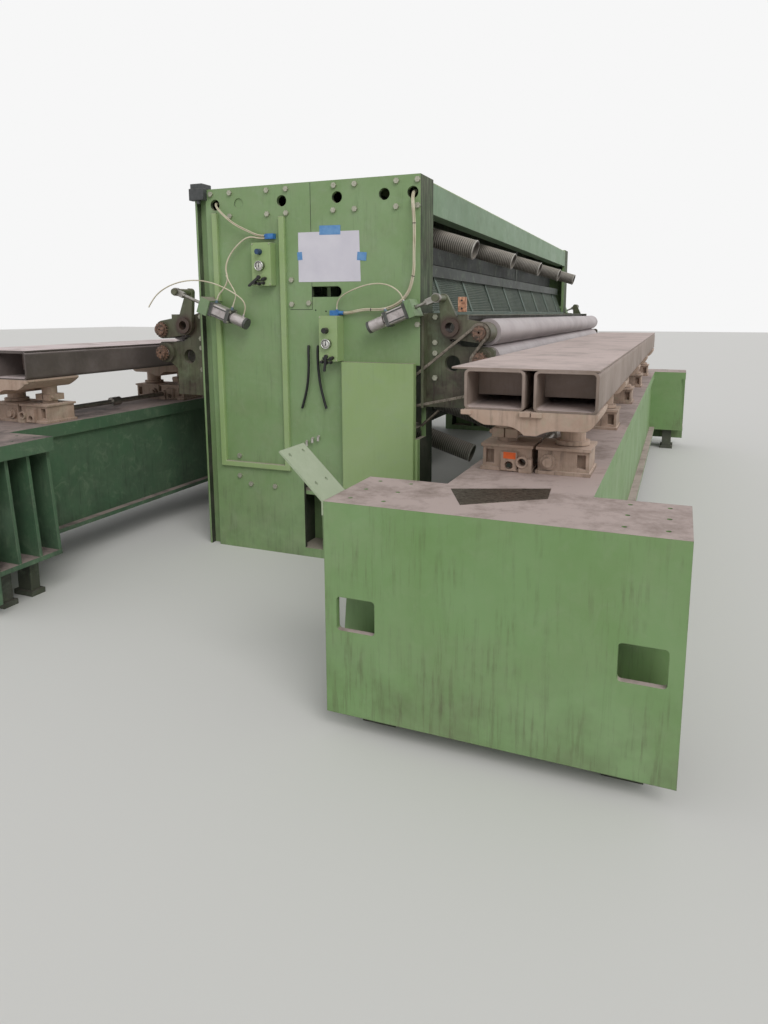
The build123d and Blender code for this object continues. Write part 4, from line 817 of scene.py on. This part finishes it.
plainTube = {"diameter": 0.008, "farEnd": "object", "stiffness": "medium", "lay": "hanging",
             "finish": tubePlastic}
tubes = {
    "infeedFrontTube": {
        "node": "infeed_front_tube", "diameter": 0.010, "length": 0.616,
        "points": [
            (-.252, -2.007, 2.064), (-.288, -2.007, 2.064), (-.330, -2.014, 2.073),
            (-.366, -2.020, 2.074), (-.406, -2.022, 2.057), (-.445, -2.024, 2.028),
            (-.485, -2.026, 1.991), (-.511, -2.030, 1.953), (-.524, -2.036, 1.920),
            (-.527, -2.044, 1.887), (-.517, -2.056, 1.857), (-.500, -2.066, 1.826),
            (-.503, -2.072, 1.790), (-.530, -2.073, 1.752), (-.57372, -2.072, 1.71366),
            (-.58447, -2.072, 1.68566)]},
    "infeedRearTube": {
        "node": "infeed_rear_tube", "length": 0.224,
        "points": [
            (-.507, -2.0725, 1.838), (-.484, -2.081, 1.802), (-.459, -2.082, 1.766),
            (-.440, -2.078, 1.731), (-.438, -2.074, 1.702), (-.45587, -2.072, 1.66628),
            (-.46590, -2.072, 1.64014)]},
    "infeedLooseTube": {
        "node": "infeed_loose_tube", "length": 0.893, "farEnd": "bare", "stiffness": "stiff", "lay": "loose",
        "points": [
            (-.38388, -2.072, 1.59152), (-.37528, -2.072, 1.61392), (-.369, -2.075, 1.639),
            (-.373, -2.081, 1.667), (-.393, -2.089, 1.695), (-.440, -2.100, 1.728),
            (-.508, -2.106, 1.762), (-.596, -2.108, 1.792), (-.700, -2.110, 1.810),
            (-.801, -2.118, 1.806), (-.900, -2.126, 1.783), (-.985, -2.130, 1.744),
            (-1.050, -2.130, 1.694), (-1.092, -2.128, 1.638)]},
    "outfeedPortTube": {
        "node": "outfeed_port_tube", "length": 0.574, "stiffness": "stiff", "lay": "loose",
        "points": [
            (.246, -2.007, 1.622), (.246, -2.007, 1.650), (.262, -2.014, 1.680), (.290, -2.026, 1.702),
            (.335, -2.042, 1.722), (.388, -2.052, 1.742), (.462, -2.060, 1.763), (.536, -2.066, 1.773),
            (.600, -2.070, 1.766), (.646, -2.072, 1.748), (.680, -2.072, 1.724),
            (.69969, -2.072, 1.69961), (.71018, -2.072, 1.67364)]},
    "leftLead": {
        "node": "left_lead", "diameter": 0.016, "length": 0.409, "farEnd": "bare", "finish": leadRubber,
        "points": [
            (.039, -1.998, 1.398), (.040, -2.006, 1.370), (.044, -2.010, 1.310), (.043, -2.012, 1.240),
            (.034, -2.010, 1.160), (.014, -2.008, 1.075), (-.013, -2.006, .998)]},
    "rightLead": {
        "node": "right_lead", "diameter": 0.016, "length": 0.402, "farEnd": "bare", "finish": leadRubber,
        "points": [
            (.105, -1.998, 1.398), (.106, -2.006, 1.370), (.108, -2.010, 1.310), (.113, -2.012, 1.240),
            (.122, -2.012, 1.165), (.139, -2.010, 1.085), (.162, -2.008, 1.003)]},
}
for name, tube in tubes.items():
    singleTube(name, plainTube | tube)
print("tubes ready")


# Suction hoses: a wire rib at every pitch along each straight hose, and a cuff at either end
def ribTree():
    tree, put, given = newTree("hoseRibs", [
        ("Pitch", "NodeSocketFloat", 14 * mm), ("Wire", "NodeSocketFloat", 3 * mm),
        ("Hose Radius", "NodeSocketFloat", 60 * mm), ("Finish", "NodeSocketMaterial", ribPlastic)])
    line = put("GeometryNodeMeshToCurve", {"Mesh": given["Geometry"]})
    spaced = put("GeometryNodeResampleCurve", {"Curve": line, "Length": given["Pitch"]}, mode="LENGTH")
    loop = put("GeometryNodeCurvePrimitiveCircle", {"Resolution": 24, "Radius": given["Hose Radius"]},
               mode="RADIUS")
    wire = put("GeometryNodeCurvePrimitiveCircle", {"Resolution": 6, "Radius": given["Wire"]},
               mode="RADIUS")
    rib = put("GeometryNodeCurveToMesh", {"Curve": loop, "Profile Curve": wire})
    heading = put("GeometryNodeInputTangent")
    facing = put("FunctionNodeAlignRotationToVector", {"Vector": heading}, axis="Z")
    finishCopies(put, spaced, rib, facing, given["Finish"])
    return tree


# near and far are (x, z) of a hose's ends on the outfeed side
hoses = {"stations": (-1420, -320, 780, 1880, 2980), "radius": 58.8, "pitch": 14, "wire": 3, "cuff": 5.5,
         "upper": {"near": (640, 2096.3), "far": (949, 2001.8)},
         "lower": {"near": (330, 856.1), "far": (949, 666.8)}}
ribs = ribTree()
for level in ("upper", "lower"):
    ends = []
    for y in hoses["stations"]:
        for side in (-1, 1):
            for x, z in hoses[level].values():
                ends.append(Vector((side * x, y, z)) * mm)
    base = bpy.data.meshes.new(level + "HoseLines")
    base.from_pydata(ends, [(k, k + 1) for k in range(0, len(ends), 2)], [])
    ribMesh = grownMesh(level + "HoseRibs", base, ribs, {
        "Hose Radius": hoses["radius"] * mm, "Pitch": hoses["pitch"] * mm, "Wire": hoses["wire"] * mm})
    placeMesh(level + "HoseRibs", ribMesh, [ribPlastic], "frame", True)
    # a pitch longer than the hose leaves only its two ends
    cuffMesh = grownMesh(level + "HoseCuffs", base, ribs, {
        "Hose Radius": hoses["radius"] * mm, "Pitch": 1.0, "Wire": hoses["cuff"] * mm,
        "Finish": cuffPlastic})
    placeMesh(level + "HoseCuffs", cuffMesh, [cuffPlastic], "frame", True)
print("hoses ready")

# Roller chain of the near outfeed rollers; its drive wheel and idler stand behind the cover
chain = {"y": -1962.5, "pitch": 19.05, "roller": 6, "rollerLength": 15, "pin": 2.8, "pinLength": 23,
         "plate": (15.5, 1.8, 15), "plateAhead": 9.5, "plateOut": 9.3, "eye": 8.4, "eyeThickness": 2}
# pitch circle in mm, and the angles in degrees where the chain meets and leaves it
chainWheels = {
    "drive": {"x": 690, "z": 1100, "radius": 66, "meets": -76.7, "leaves": -231.6, "steps": 14},
    "upper": {"x": 1140, "z": 1487, "radius": 48.8, "meets": 152.9, "leaves": -37.5, "steps": 18},
    "lower": {"x": 1140, "z": 1326.5, "radius": 48.8, "meets": 142.5, "leaves": 198.4, "steps": 6},
    "idler": {"x": 1100, "z": 1165, "radius": 40, "meets": 18.4, "leaves": -76.7, "steps": 10},
}
wheelBodies = {"clearance": 4.5, "front": -1968.5, "back": -1956.5, "hub": 22, "hubFront": -1974,
               "hubBack": -1940, "tensioner": ((781, -1950, 922), (890, -1950, 1019)), "rod": 9}


def chainTree():
    tree, put, given = newTree("rollerChain", [("Pitch", "NodeSocketFloat", chain["pitch"] * mm)])
    line = put("GeometryNodeMeshToCurve", {"Mesh": given["Geometry"]})
    spaced = put("GeometryNodeResampleCurve", {"Curve": line, "Length": given["Pitch"]}, mode="LENGTH")
    link = put("GeometryNodeJoinGeometry")
    out = chain["plateOut"]
    for sides, radius, length, y in ((16, chain["roller"], chain["rollerLength"], 0),
                                     (12, chain["pin"], chain["pinLength"], 0),
                                     (16, chain["eye"], chain["eyeThickness"], -out),
                                     (16, chain["eye"], chain["eyeThickness"], out)):
        turned = put("GeometryNodeMeshCylinder", {
            "Vertices": sides, "Radius": radius * mm, "Depth": length * mm})
        turned = put("GeometryNodeTransform", {"Geometry": turned, "Rotation": (pi / 2, 0, 0),
                                               "Translation": (0, y * mm, 0)})
        tree.links.new(turned.outputs[0], link.inputs[0])
    for y in (-out, out):
        plate = put("GeometryNodeMeshCube", {"Size": Vector(chain["plate"]) * mm})
        plate = put("GeometryNodeTransform", {"Geometry": plate,
                                              "Translation": (chain["plateAhead"] * mm, y * mm, 0)})
        tree.links.new(plate.outputs[0], link.inputs[0])
    heading = put("GeometryNodeInputTangent")
    facing = put("FunctionNodeAlignRotationToVector", {"Vector": heading}, axis="X", pivot_axis="Y")
    finishCopies(put, spaced, link, facing, chainSteel)
    return tree


chainLine = []
for wheel in chainWheels.values():
    for k in range(wheel["steps"] + 1):
        angle = radians(wheel["meets"] + (wheel["leaves"] - wheel["meets"]) * k / wheel["steps"])
        chainLine.append(Vector((wheel["x"] + wheel["radius"] * cos(angle), chain["y"],
                                 wheel["z"] + wheel["radius"] * sin(angle))) * mm)
base = bpy.data.meshes.new("chainLine")
base.from_pydata(chainLine, [(k, (k + 1) % len(chainLine)) for k in range(len(chainLine))], [])
links = grownMesh("rollerChain", base, chainTree(), {"Pitch": chain["pitch"] * mm})
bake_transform(linkedObject("rollerChain", links))

bm = bmesh.new()
for wheel in (chainWheels["drive"], chainWheels["idler"]):
    for radius, front, back, segments in (
            (wheel["radius"] - wheelBodies["clearance"], wheelBodies["front"], wheelBodies["back"], 64),
            (wheelBodies["hub"], wheelBodies["hubFront"], wheelBodies["hubBack"], 40)):
        addBar(bm, (wheel["x"], back, wheel["z"]), (wheel["x"], front, wheel["z"]), radius, 0, segments)
addBar(bm, *wheelBodies["tensioner"], wheelBodies["rod"], 0, 24)
meshPiece("chainWheels", bm, [greasySteel], "frame")
print("chain ready")

# Notice: four corners (x, z) of the sheet, and three strips of tape as two corners and a turn
notice = {"corners": ((-22, 2091), (394, 2088), (402, 1789), (-25, 1791)),
          "front": -1991.6, "back": -1990.9}
tape = {"front": -1992.4, "back": -1991.8,
        "strips": (((127, 2070), (270, 2125), 1), ((-30, 1925), (4, 1973), -4),
                   ((380, 1912), (441, 1961), 5))}
bm = sheetMesh(*[[(x, y, z) for x, z in notice["corners"]] for y in (notice["front"], notice["back"])])
meshPiece("noticeSheet", bm, [paper], "frame")
bm = bmesh.new()
for low, high, turn in tape["strips"]:
    addSlab(bm, (low[0], tape["front"], low[1]), (high[0], tape["back"], high[1]), 0, turn)
meshPiece("noticeTape", bm, [blueTape], "frame")

# Dark joints between the frame's panels, and three small plugged holes
seams = {"joints": (((65.5, 2092), (68.5, 2384)), ((65.5, 1622), (68.5, 1786)),
                    ((-90, 1620.5), (68, 1623.5))),
         "front": nearFace - 0.5, "plugs": ((90, 1617), (162, 1611), (209, 1611)), "plug": 5,
         "plugFront": nearFace - 0.6}
bm = bmesh.new()
for low, high in seams["joints"]:
    addSlab(bm, (low[0], seams["front"], low[1]), (high[0], nearFace + skin, high[1]))
for x, z in seams["plugs"]:
    addBar(bm, (x, seams["plugFront"], z), (x, nearFace + skin, z), seams["plug"], 0, 20)
meshPiece("panelSeams", bm, [seamShade], "frame")

# Connector hood on the top left corner: body, lid and the nipple below
hood = {"body": ((-799, -2034, 2318), (-688, -1990.4, 2392)),
        "lid": ((-790, -2028, 2390), (-697, -1930, 2422)), "edge": 4,
        "nipple": ((-742, -2010, 2318), (-742, -2010, 2298)), "nippleRadius": 13}
bm = bmesh.new()
for part in ("body", "lid"):
    addSlab(bm, *hood[part], edge=hood["edge"])
addBar(bm, *hood["nipple"], hood["nippleRadius"], 0, 24)
meshPiece("connectorHood", bm, [hoodPlastic], "frame")

# Cable sleeves stick out of the frame and droop, each with its own sideways lean in mm
sleeves = {"places": ((-24, 733, 12), (7, 782, 8), (51, 805, 4), (95, 820, 2)), "radius": 8,
           "root": 0.1, "bend": (-2004, -4), "next": (-2003, -2), "tip": (-2008, -30)}
bm = bmesh.new()
for x, z, lean in sleeves["places"]:
    bend, following = [(x + lean / 2, y, z + drop) for y, drop in (sleeves["bend"], sleeves["next"])]
    tip = (x + lean, sleeves["tip"][0], z + sleeves["tip"][1])
    addBar(bm, (x, nearFace + sleeves["root"], z), bend, sleeves["radius"], 0, 24)
    addBar(bm, following, tip, sleeves["radius"], 0, 24)
meshPiece("cableSleeves", bm, [cuffPlastic], "frame")

# Sensor block on the outfeed arm, with its two screws
sensor = {"block": ((1009, -1972, 1606), (1059, -1950, 1692)), "edge": 3, "screwX": 1034,
          "screws": (1626, 1672), "screw": 6, "head": 5}
bm = bmesh.new()
addSlab(bm, *sensor["block"], edge=sensor["edge"])
face = sensor["block"][0][1]
for z in sensor["screws"]:
    addBar(bm, (sensor["screwX"], face, z), (sensor["screwX"], face - sensor["head"], z),
           sensor["screw"], 1, 6)
meshPiece("armSensor", bm, [orangeCasting, blackPlastic], "outfeed_arms")

# Blank orange label, and a dark disc as painted shade in the bore on the first jack
label = {"sheet": ((1531, -2961.8, 973), (1585, -2961.2, 1002)), "turn": 2, "bore": 10,
         "boreAxis": ((1555, -2961.6, 943.5), (1555, -2961.1, 943.5))}
bm = bmesh.new()
addSlab(bm, *label["sheet"], 0, label["turn"])
addBar(bm, *label["boreAxis"], label["bore"], 1, 40)
meshPiece("jackLabel", bm, [orangeLabel, seamShade], "frame")

# Stiffening plates inside the mouths of the lifting beams
beams = {"outfeed": {"way": 1, "nearEnd": -3100}, "infeed": {"way": -1, "nearEnd": -2860}}
stiffener = {"middles": (1518, 1810), "half": 115.4, "low": 1246, "high": 1346, "thickness": 10,
             "setBack": 190, "beamLength": 5730}
for side, beam in beams.items():
    bm = bmesh.new()
    for middle in stiffener["middles"]:
        for y in (beam["nearEnd"] + stiffener["setBack"],
                  beam["nearEnd"] + stiffener["beamLength"] - stiffener["setBack"]):
            x, half = beam["way"] * middle, stiffener["thickness"] / 2
            addSlab(bm, (x - stiffener["half"], y - half, stiffener["low"]),
                    (x + stiffener["half"], y + half, stiffener["high"]))
    meshPiece(side + "BeamStiffeners", bm, [beamPaint], side + "_lifting_beam")

# Sheet of steel lying on the near block of the outfeed bed
plate = {"corners": ((1415, -3345), (1782, -3201), (1797, -3356), (1516, -3556)),
         "low": 915.6, "high": 917.6}
bm = sheetMesh(*[[(x, y, z) for x, y in plate["corners"]] for z in (plate["high"], plate["low"])])
meshPiece("blockSheet", bm, [greasySteel], "frame")
print("small pieces ready")

# Camera at the photograph's place: heading left of the working width, tipped down
view = {"place": (2.226, -5.91, 1.60), "heading": 21.5, "down": 9.33, "lens": 24.61, "sensor": 36,
        "shift": (-0.0195, -0.082), "sight": 200}
lens = bpy.data.cameras.new("photoCamera")
camera = linkedObject("photoCamera", lens)
camera.location = view["place"]
camera.rotation_euler = (radians(90 - view["down"]), 0, radians(view["heading"]))
lens.lens = view["lens"]
lens.sensor_width = view["sensor"]
lens.shift_x, lens.shift_y = view["shift"]
lens.clip_end = view["sight"]
bpy.context.scene.camera = camera

# Pale floor and soft light
light = {"sky": 0.62, "skyColour": (0.96, 0.98, 1, 1), "backdrop": 0.93, "sun": 1.35,
         "sunTurn": (48, 8, 38), "sunSoftness": 35, "floor": "d4d2ce", "floorRoughness": 0.9,
         "floorReach": 60}
floorMesh = bpy.data.meshes.new("hallFloor")
reach = light["floorReach"]
corners = [(-reach, -reach, 0), (reach, -reach, 0), (reach, reach, 0), (-reach, reach, 0)]
floorMesh.from_pydata(corners, [], [(0, 1, 2, 3)])
screed, put, shader = newMaterial("paleScreed")
setInputs(shader, {"Base Color": hexColour(light["floor"]), "Roughness": light["floorRoughness"]})
floorMesh.materials.append(screed)
linkedObject("hallFloor", floorMesh)

# White behind the machine, and in its reflections, without more light on it
world = bpy.data.worlds.new("softSky")
bpy.context.scene.world = world
world.use_nodes = True
world.node_tree.nodes.clear()
put = partial(addNode, world.node_tree)
rays = put("ShaderNodeLightPath").outputs
seen = put("ShaderNodeMath", {0: rays["Is Camera Ray"], 1: rays["Is Glossy Ray"]},
           operation="ADD", use_clamp=True)
seen = put("ShaderNodeMath", {0: seen, 1: rays["Is Transmission Ray"]}, operation="ADD", use_clamp=True)
lighting = put("ShaderNodeBackground", {"Color": light["skyColour"], "Strength": light["sky"]})
backdrop = put("ShaderNodeBackground", {"Color": (1, 1, 1, 1), "Strength": light["backdrop"]})
put("ShaderNodeOutputWorld", {"Surface": put("ShaderNodeMixShader", {0: seen, 1: lighting, 2: backdrop})})
sun = bpy.data.lights.new("softSun", "SUN")
sun.energy = light["sun"]
sun.angle = radians(light["sunSoftness"])
linkedObject("softSun", sun).rotation_euler = [radians(a) for a in light["sunTurn"]]
bpy.context.scene.view_settings.view_transform = "Standard"
print("camera and light ready")
